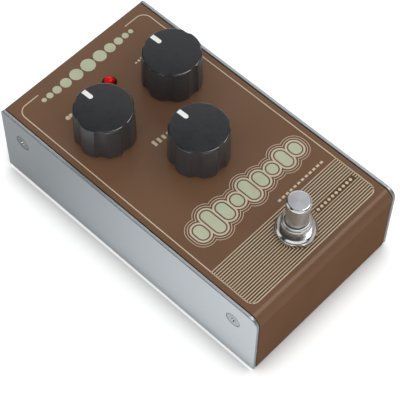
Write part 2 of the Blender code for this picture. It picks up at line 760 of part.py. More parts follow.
def potentiometer(name, x, y):
    low = (-POT_WIDTH / 2, -POT_DEPTH / 2, POT_TOP - POT_HEIGHT)
    high = (POT_WIDTH / 2, POT_DEPTH / 2, POT_TOP)
    pot = part(f"{name}_pot", block(f"{name}_pot", low, high), STEEL, (x, y, 0))
    bush_top = CASE_TOP + POT_BUSH_RISE
    foot = POT_TOP - POT_HEIGHT / 2
    add(pot, rod(f"{name}_bush", POT_BUSH, bush_top - foot, (0, 0, foot)), (x, y, 0))
    well = POT_TOP - POT_WELL
    bore = rod(f"{name}_bush_bore", SHAFT_JOURNAL + GAP, bush_top + OVERRUN - well, (0, 0, well))
    cut(pot, bore, (x, y, 0))
    shaft_top = CASE_TOP + KNOB_HEIGHT - SHAFT_TOP_DROP
    profile = [
        (0, shaft_top),
        (SHAFT_RADIUS, shaft_top),
        (SHAFT_RADIUS, bush_top + GAP),
        (SHAFT_JOURNAL, bush_top + GAP),
        (SHAFT_JOURNAL, well + GAP),
        (0, well + GAP),
    ]
    shaft = turned(f"{name}_shaft", profile, CREAM_PLASTIC, (x, y, 0))
    low = (-SHAFT_RADIUS - OVERRUN, -SHAFT_RADIUS - OVERRUN, shaft_top - SHAFT_FLAT_LENGTH)
    high = (SHAFT_RADIUS + OVERRUN, -SHAFT_FLAT, shaft_top + OVERRUN)
    cut(shaft, block(f"{name}_flat", low, high), (x, y, 0))
    hex_nut(
        f"{name}_pot_nut", POT_NUT_FLATS, POT_BUSH + GAP, POT_NUT_HEIGHT, BRASS,
        (x, y, CASE_TOP + GAP),
    )


# Lamp

def lamp():
    top = CASE_TOP + LAMP_RISE
    foot = top - LAMP_HEIGHT
    centre = top - LAMP_RADIUS
    dome = [
        (LAMP_RADIUS * math.sin(angle), centre + LAMP_RADIUS * math.cos(angle))
        for angle in (math.pi / 2 * k / 4 for k in range(5))
    ]
    profile = [
        *dome,
        (LAMP_RADIUS, foot + LAMP_FLANGE_HEIGHT),
        (LAMP_FLANGE, foot + LAMP_FLANGE_HEIGHT),
        (LAMP_FLANGE, foot),
        (0, foot),
    ]
    y = REAR - LAMP_IN
    turned("lamp", profile, RED_LENS, (0, y, 0))
    stand = BOARD_TOP + GAP
    ring(
        "lamp_spacer", LAMP_FLANGE, SPACER_BORE, foot - GAP - stand, WHITE_PLASTIC, (0, y, stand),
    )


# Foot switch

def footswitch():
    y = SWITCH_Y
    washer_foot = PANEL_UNDER - GAP - WASHER_HEIGHT
    nut_foot = washer_foot - GAP - LOWER_NUT_HEIGHT
    body_top = nut_foot - GAP
    body_foot = body_top - SWITCH_HEIGHT
    half = SWITCH_WIDTH / 2
    ring(
        "footswitch_washer", WASHER_RADIUS, BUSH_RADIUS + GAP, WASHER_HEIGHT, STEEL,
        (0, y, washer_foot),
    )
    hex_nut(
        "footswitch_lower_nut", SWITCH_NUT_FLATS, BUSH_RADIUS + GAP, LOWER_NUT_HEIGHT, CHROME,
        (0, y, nut_foot),
    )
    block_mesh = block("footswitch_body", (-half, -half, body_foot), (half, half, body_top))
    body = part("footswitch_body", block_mesh, BLACK_PLASTIC, (0, y, 0))
    add_bush(body, body_top, y)
    well_top = body_top - SWITCH_ROOF
    well_foot = well_top - SWITCH_WELL_DEPTH
    well = rod("switch_well", SWITCH_WELL, SWITCH_WELL_DEPTH, (0, 0, well_foot))
    cut(body, well, (0, y, 0))
    add_lugs(body, body_foot, y)
    collar_top = well_top - GAP
    plunger(collar_top, y)
    spring_top = collar_top - COLLAR_HEIGHT - GAP
    return_spring(well_foot + GAP + SPRING_WIRE, spring_top - SPRING_WIRE, y)
    dress_nut(y)


def add_bush(body, body_top, y):
    """The threaded bush with its chamfered lip, and the bore that the stem runs in."""
    foot = body_top - SWITCH_ROOF / 2
    rise = CASE_TOP + BUSH_RISE
    profile = [
        (0, rise + BUSH_LIP_RISE),
        (BUSH_LIP, rise + BUSH_LIP_RISE),
        (BUSH_RADIUS, rise),
        (BUSH_RADIUS, foot),
        (0, foot),
    ]
    combine(body, turned_cutter("switch_bush", profile, (0, y, 0)), "UNION")
    bore_foot = body_top - SWITCH_ROOF - OVERRUN
    length = rise + BUSH_LIP_RISE + OVERRUN - bore_foot
    bore = rod("switch_bore", STEM_TAPER_RADIUS + GAP, length, (0, 0, bore_foot))
    cut(body, bore, (0, y, 0))


def add_lugs(body, body_foot, y):
    """Three rows of three solder lugs under the switch."""
    boxes = []
    for row in (-1, 0, 1):
        for column in (-1, 0, 1):
            x, v = column * LUG_PITCH, row * LUG_PITCH
            low = (x - LUG_WIDTH / 2, v - LUG_THICK / 2, body_foot - LUG_LENGTH)
            high = (x + LUG_WIDTH / 2, v + LUG_THICK / 2, body_foot + OVERRUN)
            boxes.append((low, high))
    add(body, blocks("switch_lugs", boxes), (0, y, 0))


def plunger(collar_top, y):
    top = CASE_TOP + CAP_RISE
    narrow = CASE_TOP + BUSH_RISE + BUSH_LIP_RISE + GAP + SWITCH_TRAVEL
    profile = [
        (0, top),
        (CAP_FLAT, top),
        (CAP_RADIUS, top - CAP_CHAMFER),
        (STEM_TAPER_RADIUS, narrow),
        (STEM_TAPER_RADIUS, collar_top),
        (COLLAR_RADIUS, collar_top),
        (COLLAR_RADIUS, collar_top - COLLAR_HEIGHT),
        (0, collar_top - COLLAR_HEIGHT),
    ]
    turned("footswitch_plunger", profile, CHROME, (0, y, 0))


def return_spring(low, high, y):
    """The coil that lifts the plunger, as one unbroken wire."""
    per_turn = 10
    count = int(SPRING_TURNS * per_turn)
    points = []
    for k in range(count + 1):
        angle = 2 * math.pi * k / per_turn
        height = low + (high - low) * k / count
        points.append((SPRING_RADIUS * math.cos(angle), SPRING_RADIUS * math.sin(angle) + y, height))
    tube("footswitch_spring", points, SPRING_WIRE, STEEL, resolution=1)
    gap = least_gap(points, SPRING_WIRE, per_turn // 2)
    print(f"footswitch_spring: least gap to itself {gap / MM:.2f} mm")


def least_gap(points, radius, skip):
    """The least gap from a wire to itself, between points at least skip places apart."""
    pairs = ((a, b) for i, a in enumerate(points) for b in points[i + skip:])
    return min(math.dist(a, b) for a, b in pairs) - 2 * radius


def dress_nut(y):
    """The polished hexagonal nut whose corners are turned off and whose top is turned to a cone."""
    foot = CASE_TOP + GAP
    corner = SWITCH_NUT_FLATS / math.sqrt(3)
    place = (0, y, foot)
    hexagon = rod("footswitch_nut", corner, SWITCH_NUT_HEIGHT, sides=6, turn=SWITCH_NUT_TURN)
    nut = part("footswitch_nut", hexagon, CHROME, place)
    cone = [
        (0, SWITCH_NUT_HEIGHT),
        (BUSH_LIP, SWITCH_NUT_HEIGHT),
        (SWITCH_NUT_ROUND, SWITCH_NUT_SIDE),
        (SWITCH_NUT_ROUND, -OVERRUN),
        (0, -OVERRUN),
    ]
    combine(nut, turned_cutter("switch_nut_cone", cone, place), "INTERSECT")
    bore = rod("switch_nut_bore", BUSH_RADIUS + GAP, SWITCH_NUT_HEIGHT + 2 * OVERRUN, (0, 0, -OVERRUN))
    cut(nut, bore, place)


# Sockets

def jack_height():
    """The height of a signal socket's axis: its body hangs just under the board."""
    return BOARD_BOTTOM - GAP - JACK_HEIGHT / 2


def jack_side():
    """How far a signal socket's axis is from the middle."""
    return SHELL_HALF - EAR_SETBACK - SHEET - JACK_SIDE_GAP - JACK_WIDTH / 2


def power_height():
    return BOARD_BOTTOM - GAP - POWER_HEIGHT / 2


def signal_jack(name, x):
    face = REAR - SHEET - GAP
    z = jack_height()
    low = (-JACK_WIDTH / 2, -JACK_LENGTH, -JACK_HEIGHT / 2)
    high = (JACK_WIDTH / 2, 0, JACK_HEIGHT / 2)
    place = (x, face, z)
    jack = part(f"{name}_jack", block(f"{name}_jack", low, high), BLACK_PLASTIC, place)
    tip = REAR + NOSE_REACH - face
    nose = rod(f"{name}_nose", NOSE_RADIUS, tip + OVERRUN, (0, -OVERRUN, 0), (0, 1, 0))
    add(jack, nose, place)
    start = (0, tip - JACK_BORE_DEPTH, 0)
    bore = rod(f"{name}_bore", JACK_BORE, JACK_BORE_DEPTH + OVERRUN, start, (0, 1, 0))
    cut(jack, bore, place)
    washer_y = REAR + GAP
    ring(
        f"{name}_jack_washer", JACK_WASHER_RADIUS, NOSE_RADIUS + GAP, JACK_WASHER_HEIGHT, STEEL,
        (x, washer_y, z), (0, 1, 0),
    )
    nut_y = washer_y + JACK_WASHER_HEIGHT + GAP
    hex_nut(
        f"{name}_jack_nut", JACK_NUT_FLATS, NOSE_RADIUS + GAP, JACK_NUT_HEIGHT, BRASS,
        (x, nut_y, z), (0, 1, 0),
    )


def power_jack():
    face = REAR - SHEET - GAP
    low = (-POWER_WIDTH / 2, -POWER_LENGTH, -POWER_HEIGHT / 2)
    high = (POWER_WIDTH / 2, 0, POWER_HEIGHT / 2)
    place = (0, face, power_height())
    jack = part("power_jack", block("power_jack", low, high), BLACK_PLASTIC, place)
    mouth = REAR - face
    nose = rod("power_nose", POWER_NOSE, mouth + OVERRUN, (0, -OVERRUN, 0), (0, 1, 0))
    add(jack, nose, place)
    start = (0, mouth - POWER_BORE_DEPTH, 0)
    cut(jack, rod("power_bore", POWER_BORE, POWER_BORE_DEPTH + OVERRUN, start, (0, 1, 0)), place)
    back = -POWER_LENGTH - OVERRUN
    cut(jack, rod("pin_bore", PIN_RADIUS + GAP, POWER_LENGTH, (0, back, 0), (0, 1, 0)), place)
    tip = mouth - PIN_SHORT
    profile = [
        (0, tip),
        (PIN_RADIUS / 2, tip),
        (PIN_RADIUS, tip - PIN_RADIUS / 2),
        (PIN_RADIUS, -POWER_LENGTH),
        (0, -POWER_LENGTH),
    ]
    turned("power_jack_pin", profile, BRASS, place, steps=FEW_SIDES, axis=(0, 1, 0))


# Board and its components

def board_half():
    return SHELL_HALF - EAR_SETBACK - SHEET - BOARD_SIDE_GAP


def main_board():
    half = board_half()
    low = (-half, SWITCH_Y + SWITCH_WIDTH / 2 + BOARD_FRONT_GAP, BOARD_BOTTOM)
    high = (half, REAR - SHEET - BOARD_REAR_GAP, BOARD_TOP)
    part("main_board", block("main_board", low, high), BOARD_GREEN)


def chip(name, legs, x):
    """A dual in-line chip that hangs under the board, its legs bent up to it."""
    y = REAR - CHIP_IN
    top = BOARD_BOTTOM - GAP
    length = (legs - 1) * LEG_PITCH + 2 * CHIP_END
    body_top = top - CHIP_STAND
    low = (-CHIP_WIDTH / 2, -length / 2, body_top - CHIP_HEIGHT)
    high = (CHIP_WIDTH / 2, length / 2, body_top)
    thing = part(name, block(name, low, high), BLACK_PLASTIC, (x, y, 0))
    boxes = []
    for side in (-1, 1):
        for k in range(legs):
            v = (k - (legs - 1) / 2) * LEG_PITCH
            xs = span(side * LEG_SPAN / 2, side * (CHIP_WIDTH / 2 - LEG_WIDTH))
            ys = (v - LEG_WIDTH / 2, v + LEG_WIDTH / 2)
            boxes.append(tuple(zip(xs, ys, (top - LEG_HEIGHT, top))))
    add(thing, blocks(f"{name}_legs", boxes), (x, y, 0))


def filter_capacitors():
    top = BOARD_BOTTOM - GAP
    y = REAR - CAN_IN
    foot = top - CAN_HEIGHT
    profile = [
        (0, top),
        (CAN_RADIUS, top),
        (CAN_RADIUS, foot + CAN_ROUND),
        (CAN_RADIUS - CAN_ROUND, foot),
        (0, foot),
    ]
    for number, side in enumerate((-1, 1), 1):
        x = side * (board_half() - CAN_SIDE_IN)
        turned(f"filter_capacitor_{number}", profile, BLUE_SLEEVE, (x, y, 0))


def clock_trimmer():
    """A square trimmer whose slotted rotor faces down, where a screwdriver reaches it."""
    y = REAR - TRIMMER_IN
    top = BOARD_BOTTOM - GAP
    foot = top - TRIMMER_HEIGHT
    half = TRIMMER_WIDTH / 2
    body_mesh = block("clock_trimmer", (-half, -half, foot), (half, half, top))
    body = part("clock_trimmer", body_mesh, WHITE_PLASTIC, (0, y, 0))
    well = rod("trimmer_well", TRIMMER_ROTOR + GAP, TRIMMER_WELL + OVERRUN, (0, 0, foot - OVERRUN))
    cut(body, well, (0, y, 0))
    height = TRIMMER_WELL - GAP
    rotor = turned(
        "clock_trimmer_rotor",
        [(0, height), (TRIMMER_ROTOR, height), (TRIMMER_ROTOR, 0), (0, 0)],
        BRASS, (0, y, foot),
    )
    slot = block(
        "trimmer_slot",
        (-TRIMMER_ROTOR - OVERRUN, -TRIMMER_SLOT / 2, -OVERRUN),
        (TRIMMER_ROTOR + OVERRUN, TRIMMER_SLOT / 2, height / 2),
    )
    cut(rotor, slot, (0, y, foot))


# Battery and wires

def battery():
    foot = BASE_TOP + GAP
    half = BATTERY_LENGTH / 2
    low_y = FRONT + BATTERY_IN
    low = (-half, low_y, foot)
    high = (half, low_y + BATTERY_WIDTH, foot + BATTERY_HEIGHT)
    place = (-BATTERY_SHIFT, 0, 0)
    cell = part("battery", block("battery", low, high), BATTERY_WRAP, place)
    bevel = cell.modifiers.new("rounded edges", "BEVEL")
    bevel.width = BATTERY_ROUND
    bevel.segments = 2
    middle_y = low_y + BATTERY_WIDTH / 2
    middle_z = foot + BATTERY_HEIGHT / 2
    snap_x = half + GAP
    low = (snap_x, middle_y - SNAP_WIDTH / 2, middle_z - SNAP_HEIGHT / 2)
    high = (snap_x + SNAP_THICK, middle_y + SNAP_WIDTH / 2, middle_z + SNAP_HEIGHT / 2)
    snap = part("battery_snap", block("battery_snap", low, high), BLACK_PLASTIC, place)
    poles = (("small", -1, TERMINAL_SMALL), ("large", 1, TERMINAL_LARGE))
    for name, side, radius in poles:
        y = middle_y + side * TERMINAL_SPACING / 2
        stud = rod(
            f"{name}_terminal", radius, TERMINAL_RISE + OVERRUN, (half - OVERRUN, y, middle_z), (1, 0, 0)
        )
        add(cell, stud, place)
        depth = TERMINAL_RISE + OVERRUN
        start = (snap_x - OVERRUN, y, middle_z)
        cup = rod(f"{name}_terminal_cup", radius + GAP, depth, start, (1, 0, 0))
        cut(snap, cup, place)
    x = snap_x + SNAP_THICK / 2 - BATTERY_SHIFT
    top = middle_z + SNAP_HEIGHT / 2 + GAP
    battery_lead("battery_lead_red", x, middle_y + TERMINAL_SPACING / 2, top, 1, RED_WIRE)
    battery_lead("battery_lead_black", x, middle_y - TERMINAL_SPACING / 2, top, -1, BLACK_WIRE)


def battery_lead(name, x, y, low, way, material):
    """A lead from the snap over the battery and up to the underside of the board."""
    high = BOARD_BOTTOM - GAP
    run = low + LEAD_RISE
    drift = way * LEAD_RUN / 8
    knots = [
        (x, y, low),
        (x, y, (low + run) / 2),
        (x - LEAD_RUN / 10, y, run),
        (x - LEAD_RUN / 2, y - drift, run + LEAD_RADIUS / 2),
        (x - LEAD_RUN, y - 2 * drift, high - 2 * LEAD_RADIUS),
        (x - LEAD_RUN, y - 2 * drift, high),
    ]
    tube(name, smooth_path(knots), LEAD_RADIUS, material, resolution=1)


def switch_ribbon():
    """The flat cable from the foot switch's rear face up to the underside of the board."""
    start = SWITCH_Y + SWITCH_WIDTH / 2 + GAP
    low = BOARD_BOTTOM - GAP - RIBBON_DROP
    high = BOARD_BOTTOM - GAP
    bend = start + RIBBON_OUT + RIBBON_THICK
    outer = rounded([(start, low), (bend, low), (bend, high)], [0, RIBBON_OUT + RIBBON_THICK / 2, 0])
    near, top = bend - RIBBON_THICK, low + RIBBON_THICK
    inner = rounded([(start, top), (near, top), (near, high)], [0, RIBBON_OUT / 2, 0])
    outline = [*outer, *reversed(inner)]
    mesh = extruded("switch_ribbon", outline, -RIBBON_WIDTH / 2, RIBBON_WIDTH / 2)
    part("switch_ribbon", mesh, GREY_RIBBON)


def build():
    top_shell()
    side_plate("left_side_plate", -1)
    side_plate("right_side_plate", 1)
    base_plate()
    side_screws()
    base_screws()
    rubber_feet()
    for name, (x, y) in KNOB_PLACES.items():
        knob(name, x, y)
        potentiometer(name, x, y)
    lamp()
    footswitch()
    signal_jack("input", jack_side())
    signal_jack("output", -jack_side())
    power_jack()
    main_board()
    chip("delay_chip", DELAY_CHIP_LEGS, -CHIP_SIDE)
    chip("clock_chip", CLOCK_CHIP_LEGS, CHIP_SIDE)
    filter_capacitors()
    clock_trimmer()
    battery()
    switch_ribbon()
    for thing in PARTS.objects:
        thing.data.shade_smooth()
        thing.data.set_sharp_from_angle(angle=math.radians(35))


build()
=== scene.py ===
# %% [markdown]
# # An analog delay pedal
#
# A brown steel sheet is bent over the top, front and rear of the works, and an aluminium plate closes each
# side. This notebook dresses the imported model: plain solids get their fine edges, threads, prints and
# finishes, and everything stands under soft light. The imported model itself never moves. Each new piece is
# placed by the box of the node that it stands for. Lengths are in metres, so MM turns millimetres into them.

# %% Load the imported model
import math
from contextlib import contextmanager

import bmesh
import bpy
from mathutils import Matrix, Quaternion, Vector


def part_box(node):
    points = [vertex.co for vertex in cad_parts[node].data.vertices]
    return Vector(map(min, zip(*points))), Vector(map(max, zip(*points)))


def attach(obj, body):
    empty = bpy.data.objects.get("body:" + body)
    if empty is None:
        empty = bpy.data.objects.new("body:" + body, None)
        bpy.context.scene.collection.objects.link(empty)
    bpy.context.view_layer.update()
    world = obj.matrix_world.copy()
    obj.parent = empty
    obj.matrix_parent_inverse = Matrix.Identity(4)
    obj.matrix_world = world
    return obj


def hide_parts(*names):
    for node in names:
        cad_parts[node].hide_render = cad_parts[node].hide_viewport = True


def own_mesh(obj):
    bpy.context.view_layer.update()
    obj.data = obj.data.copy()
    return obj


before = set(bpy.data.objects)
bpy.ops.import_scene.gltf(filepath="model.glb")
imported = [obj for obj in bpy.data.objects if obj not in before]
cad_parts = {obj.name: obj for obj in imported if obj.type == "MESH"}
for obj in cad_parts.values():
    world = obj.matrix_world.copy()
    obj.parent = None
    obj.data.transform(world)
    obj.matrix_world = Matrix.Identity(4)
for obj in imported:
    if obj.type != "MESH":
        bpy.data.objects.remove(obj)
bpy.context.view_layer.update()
MM = 0.001
RIGHT, REARWARD, UP = Vector((1, 0, 0)), Vector((0, 1, 0)), Vector((0, 0, 1))


def centre(node):
    low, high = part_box(node)
    return (Vector(low) + Vector(high)) / 2


def size(node):
    low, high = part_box(node)
    return Vector(high) - Vector(low)


CASE_LOW, CASE_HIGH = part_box("left_side_plate")[0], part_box("right_side_plate")[1]
PANEL = CASE_HIGH[2]
FRONT, REAR = CASE_LOW[1], CASE_HIGH[1]
HALF_WIDTH = CASE_HIGH[0]
print(f"case {2000 * HALF_WIDTH:.1f} x {1000 * (REAR - FRONT):.1f} mm, panel at {1000 * PANEL:.2f} mm")

# %% [markdown]
# ## The camera
#
# The pedal is photographed from its front left and from well above, through a long lens. The place, the
# direction and the slight roll were solved from the case's straight edges and the knobs' rims, so the
# render can be laid over the photograph.

# %% Camera
CAMERA_PLACE = Vector((-218.314, -204.955, 474.111)) * MM
CAMERA_AZIMUTH = math.radians(47.48)
CAMERA_FALL = math.radians(57.71)
CAMERA_ROLL = math.radians(1.224)
LENS = 131.4

level = Vector((math.sin(CAMERA_AZIMUTH), math.cos(CAMERA_AZIMUTH), 0)) * math.cos(CAMERA_FALL)
looking = level - UP * math.sin(CAMERA_FALL)
bpy.ops.object.camera_add(location=CAMERA_PLACE)
camera = bpy.context.object
camera.name = "camera"
camera.rotation_euler = (looking.to_track_quat("-Z", "Y") @ Quaternion(UP, CAMERA_ROLL)).to_euler()
camera.data.lens = LENS
camera.data.clip_end = 20
bpy.context.scene.camera = camera
bpy.context.scene.view_settings.view_transform = "Standard"

# %% [markdown]
# ## Writing a material
#
# A finish is a shader and the nodes that feed it. Written node by node it soon becomes hard to read, so a
# small class wraps a socket and lets Python's own arithmetic add the Math nodes. `1 - mask` or
# `rough + 0.1 * grain` then read as they are meant.

# %% Signals and finishes
def srgb(red, green, blue):
    """A colour as a picture shows it, 0 to 255, turned into the light that a shader works with."""
    shares = [value / 255 for value in (red, green, blue)]
    return (*[s / 12.92 if s <= 0.04045 else ((s + 0.055) / 1.055) ** 2.4 for s in shares], 1)


class Signal:
    """A number that varies over a surface. Arithmetic on it adds Math nodes."""

    def __init__(self, graph, socket):
        self.graph = graph
        self.socket = socket

    def math(self, operation, *values):
        return self.graph.node("ShaderNodeMath", {"operation": operation}, dict(enumerate(values)))

    def __add__(self, other):
        return self.math("ADD", self, other)

    __radd__ = __add__

    def __sub__(self, other):
        return self.math("SUBTRACT", self, other)

    def __rsub__(self, other):
        return self.math("SUBTRACT", other, self)

    def __mul__(self, other):
        return self.math("MULTIPLY", self, other)

    __rmul__ = __mul__

    def __pow__(self, other):
        return self.math("POWER", self, other)

    def sine(self):
        return self.math("SINE", self)

    def between(self, low, high, start=0.0, end=1.0):
        """Rises smoothly from start to end while the signal goes from low to high."""
        values = {"Value": self, "From Min": low, "From Max": high, "To Min": start, "To Max": end}
        return self.graph.node("ShaderNodeMapRange", {"interpolation_type": "SMOOTHSTEP"}, values)


class Graph:
    """A node tree to which nodes are added one call at a time."""

    def __init__(self, tree):
        self.tree = tree

    def node(self, kind, settings=None, values=None, output=0):
        """Adds a node: its settings first, then the values or links of its sockets."""
        made = self.tree.nodes.new(kind)
        for name, value in (settings or {}).items():
            setattr(made, name, value)
        for name, value in (values or {}).items():
            self.feed(made.inputs[name], value)
        return Signal(self, made.outputs[output])

    def feed(self, socket, value):
        if isinstance(value, Signal):
            self.tree.links.new(value.socket, socket)
        else:
            socket.default_value = value

    def parts(self, vector):
        """The three coordinates of a vector."""
        parted = self.node("ShaderNodeSeparateXYZ", values={0: vector}).socket.node
        return [Signal(self, socket) for socket in parted.outputs]

    def blend(self, share, first, second):
        """A colour between two, by a share from 0 to 1."""
        return self.node("ShaderNodeMix", {"data_type": "RGBA"}, {0: share, 6: first, 7: second}, 2)

    def rays(self, kind):
        """One for the rays of a kind, and zero for all others."""
        return self.node("ShaderNodeLightPath", output=f"Is {kind} Ray")


class Finish(Graph):
    """A procedural material, measured on the object's own coordinates."""

    def __init__(self, name, **constants):
        self.material = bpy.data.materials.new(name)
        self.material.use_nodes = True
        super().__init__(self.material.node_tree)
        self.shader = self.tree.nodes["Principled BSDF"]
        for socket, value in constants.items():
            self.shader.inputs[socket.replace("_", " ")].default_value = value

    def give(self, **signals):
        """Feeds the shader's sockets."""
        for socket, value in signals.items():
            self.feed(self.shader.inputs[socket.replace("_", " ")], value)
        return self

    def here(self, shift=(0, 0, 0)):
        """The point being shaded, in metres, counted from a shift."""
        point = self.node("ShaderNodeTexCoord", output="Object")
        return self.node("ShaderNodeVectorMath", {"operation": "SUBTRACT"}, {0: point, 1: shift})

    def axes(self, shift=(0, 0, 0)):
        """The three coordinates of the point being shaded."""
        return self.parts(self.here(shift))

    def grain(self, length, stretch=(1, 1, 1), detail=3.0, roughness=0.5):
        """Noise from 0 to 1 whose lumps are about a length across, and longer where it is stretched."""
        scale = [1 / (length * share) for share in stretch]
        place = self.node("ShaderNodeVectorMath", {"operation": "MULTIPLY"}, {0: self.here(), 1: scale})
        values = {"Vector": place, "Scale": 1.0, "Detail": detail, "Roughness": roughness}
        return self.node("ShaderNodeTexNoise", values=values)

    def relief(self, height, depth):
        """Turns a height from 0 to 1 into a bump of that depth in metres."""
        bump = self.node("ShaderNodeBump", values={"Strength": 1.0, "Distance": depth, "Height": height})
        return self.give(Normal=bump)


# %% [markdown]
# ## Paint and metals
#
# The case is stoved with a satin brown paint, which flows out into a very fine orange peel. The side plates
# are blasted and anodised aluminium, so they have no lines, only a soft bloom. Chrome and nickel are smooth
# mirrors that handling has dulled in patches, and zinc plate is cloudy.

# %% Paint and metals
def brown_paint():
    paint = Finish("brown_paint", Specular_IOR_Level=0.0, Coat_Roughness=0.27)
    cloud = paint.grain(14 * MM, detail=4)
    fleck = paint.grain(0.5 * MM, detail=2)
    colour = paint.blend(cloud.between(0.3, 0.7), srgb(108, 79, 58), srgb(112, 82, 61))
    darker = paint.blend(fleck.between(0.62, 0.8) * 0.25, colour, srgb(92, 65, 48))
    paint.give(Base_Color=darker, Roughness=0.4 + 0.08 * cloud)
    paint.give(Coat_Weight=paint.axes()[2].between(30.5 * MM, 34.5 * MM, 0.04, 0.42))
    return paint.relief(paint.grain(0.9 * MM, detail=1.5), 0.006 * MM)


def blasted_aluminium():
    metal = Finish("satin_aluminium", Metallic=1.0)
    bloom = metal.grain(18 * MM, stretch=(1, 1.6, 1))
    pits = metal.grain(0.18 * MM, detail=2)
    metal.give(Base_Color=metal.blend(bloom, srgb(161, 167, 171), srgb(169, 175, 179)))
    metal.give(Roughness=0.36 + 0.08 * bloom + 0.06 * pits)
    return metal.relief(pits, 0.012 * MM)


def mirror_metal(name, first, second, gloss):
    """A plated finish: a mirror with faint smears and a few hairline wipes."""
    metal = Finish(name, Metallic=1.0)
    smear = metal.grain(3.5 * MM, detail=5)
    wipe = metal.grain(0.12 * MM, stretch=(14, 1, 1), detail=2)
    metal.give(Base_Color=metal.blend(smear, first, second))
    metal.give(Roughness=gloss + 0.05 * smear.between(0.45, 0.75) + 0.02 * wipe)
    return metal


def zinc():
    metal = Finish("zinc_steel", Metallic=1.0)
    cloud = metal.grain(2.2 * MM, detail=5, roughness=0.65)
    metal.give(Base_Color=metal.blend(cloud, srgb(150, 153, 156), srgb(188, 190, 190)))
    metal.give(Roughness=0.26 + 0.2 * cloud)
    return metal.relief(metal.grain(0.25 * MM), 0.004 * MM)


def turned_metal(name, node, first, second):
    """Metal faced on a lathe: fine rings round the axis of a node, and a painted sheen in wedges round it.
    """
    metal = Finish(name, Metallic=1.0)
    x, y, _ = metal.axes(centre(node))
    radius = (x * x + y * y) ** 0.5
    rings = (radius * (math.tau / (0.4 * MM))).sine() * 0.5 + 0.5
    # Painted sheen: light and dark wedges in the colour, standing for the light that the rings fan out.
    painted_sheen_wedge = (y.math("ARCTAN2", y, x) * 2 + 0.6).sine() * 0.5 + 0.5
    worn = metal.grain(1.2 * MM, detail=4)
    metal.give(Base_Color=metal.blend(0.65 * painted_sheen_wedge + 0.35 * worn, first, second))
    return metal.give(Roughness=0.32 + 0.05 * rings + 0.06 * worn)


BROWN = brown_paint()
ALUMINIUM = blasted_aluminium()
CHROME = mirror_metal("chrome", srgb(204, 204, 205), srgb(216, 215, 213), 0.1)
NICKEL = mirror_metal("nickelled_brass", srgb(202, 196, 184), srgb(216, 211, 200), 0.16)
ZINC = zinc()
SCREW_STEEL = mirror_metal("screw_steel", srgb(128, 131, 133), srgb(144, 147, 149), 0.32)
SATIN_CHROME = mirror_metal("satin_chrome", srgb(206, 206, 208), srgb(220, 219, 217), 0.3)
FACED_CHROME = turned_metal("faced_chrome", "footswitch_plunger", srgb(164, 164, 166), srgb(180, 181, 187))

# %% [markdown]
# ## Plastics, rubber and print
#
# Moulded parts are never quite even: a knob has a fine spark-eroded grain, rubber is mottled with dust, and
# a printed film shows slight pinholes. The lamp's lens is dyed through, and light gathers in its middle: the
# lens is painted lighter, with a faint glow, on its axis and darker towards its rim.

# %% Plastics, rubber and print
def moulded(name, first, second, rough, grain, depth, **constants):
    """Plastic or rubber with two close shades and the fine grain of its mould."""
    plastic = Finish(name, **constants)
    cloud = plastic.grain(5 * MM, detail=4)
    skin = plastic.grain(grain, detail=2)
    plastic.give(Base_Color=plastic.blend(cloud.between(0.3, 0.7), first, second))
    plastic.give(Roughness=rough + 0.1 * cloud + 0.06 * skin)
    return plastic.relief(skin, depth)


def printed(name, colour, **constants):
    """A thin film of screen ink, with a few pinholes where the paint shows."""
    ink = Finish(name, **constants)
    pinhole = ink.grain(0.22 * MM, detail=2).between(0.66, 0.76)
    wear = ink.grain(6 * MM).between(0.3, 0.8)
    worn = ink.blend(wear * 0.18, colour, srgb(150, 122, 98))
    ink.give(Base_Color=ink.blend(pinhole * 0.5, worn, srgb(110, 82, 64)), Roughness=0.42 + 0.12 * wear)
    return ink.relief(pinhole, 0.004 * MM)


def lamp_lens():
    lens = Finish("red_lens", Roughness=0.2, IOR=1.25)
    lens.shader.inputs["Emission Strength"].default_value = 0.22
    x, y, z = lens.axes(centre("lamp"))
    # Painted light: the lens is coloured lighter and given a glow on its axis, and darker towards the rim.
    painted_rim_shade = ((x * x + y * y) ** 0.5).between(0.9 * MM, 2.4 * MM)
    swirl = lens.grain(1.1 * MM)
    lens.give(Base_Color=lens.blend(painted_rim_shade, srgb(186, 8, 3), srgb(84, 2, 1)))
    lens.give(Emission_Color=lens.blend(painted_rim_shade + 0.1 * swirl, srgb(255, 8, 0), srgb(60, 0, 0)))
    return lens.relief(swirl, 0.003 * MM)


BLACK_KNOB = moulded(
    "black_knob", srgb(33, 34, 37), srgb(37, 38, 41), 0.2, 0.16 * MM, 0.001 * MM, Specular_IOR_Level=0.32,
)
# A lighter grey than the top: painted light for the light that the knob's sides catch.
SKIRT_BLACK_PAINTED_LIGHTER = moulded("knob_skirt", srgb(53, 53, 55), srgb(58, 58, 60), 0.26, 0.3 * MM, 0.001 * MM)
SHOULDER_BLACK = moulded(
    "knob_shoulder", srgb(36, 37, 39), srgb(40, 41, 43), 0.1, 0.3 * MM, 0.0005 * MM, Specular_IOR_Level=1.0,
)
BLACK_PLASTIC = moulded("black_plastic", srgb(30, 30, 31), srgb(38, 38, 38), 0.42, 0.3 * MM, 0.008 * MM)
WHITE_PLASTIC = moulded(
    "white_plastic", srgb(236, 236, 232), srgb(226, 225, 220), 0.34, 0.3 * MM, 0.003 * MM,
)
CREAM_PLASTIC = moulded("cream_plastic", srgb(216, 206, 176), srgb(200, 188, 156), 0.4, 0.4 * MM, 0.006 * MM)
RUBBER = moulded("black_rubber", srgb(28, 28, 28), srgb(42, 42, 40), 0.68, 0.35 * MM, 0.02 * MM)
RED_WIRE = moulded("red_wire", srgb(186, 30, 24), srgb(160, 24, 20), 0.4, 0.3 * MM, 0.006 * MM)
BLACK_WIRE = moulded("black_wire", srgb(24, 24, 25), srgb(34, 34, 35), 0.42, 0.3 * MM, 0.006 * MM)
CREAM_INK = printed("cream_ink", srgb(200, 185, 160))
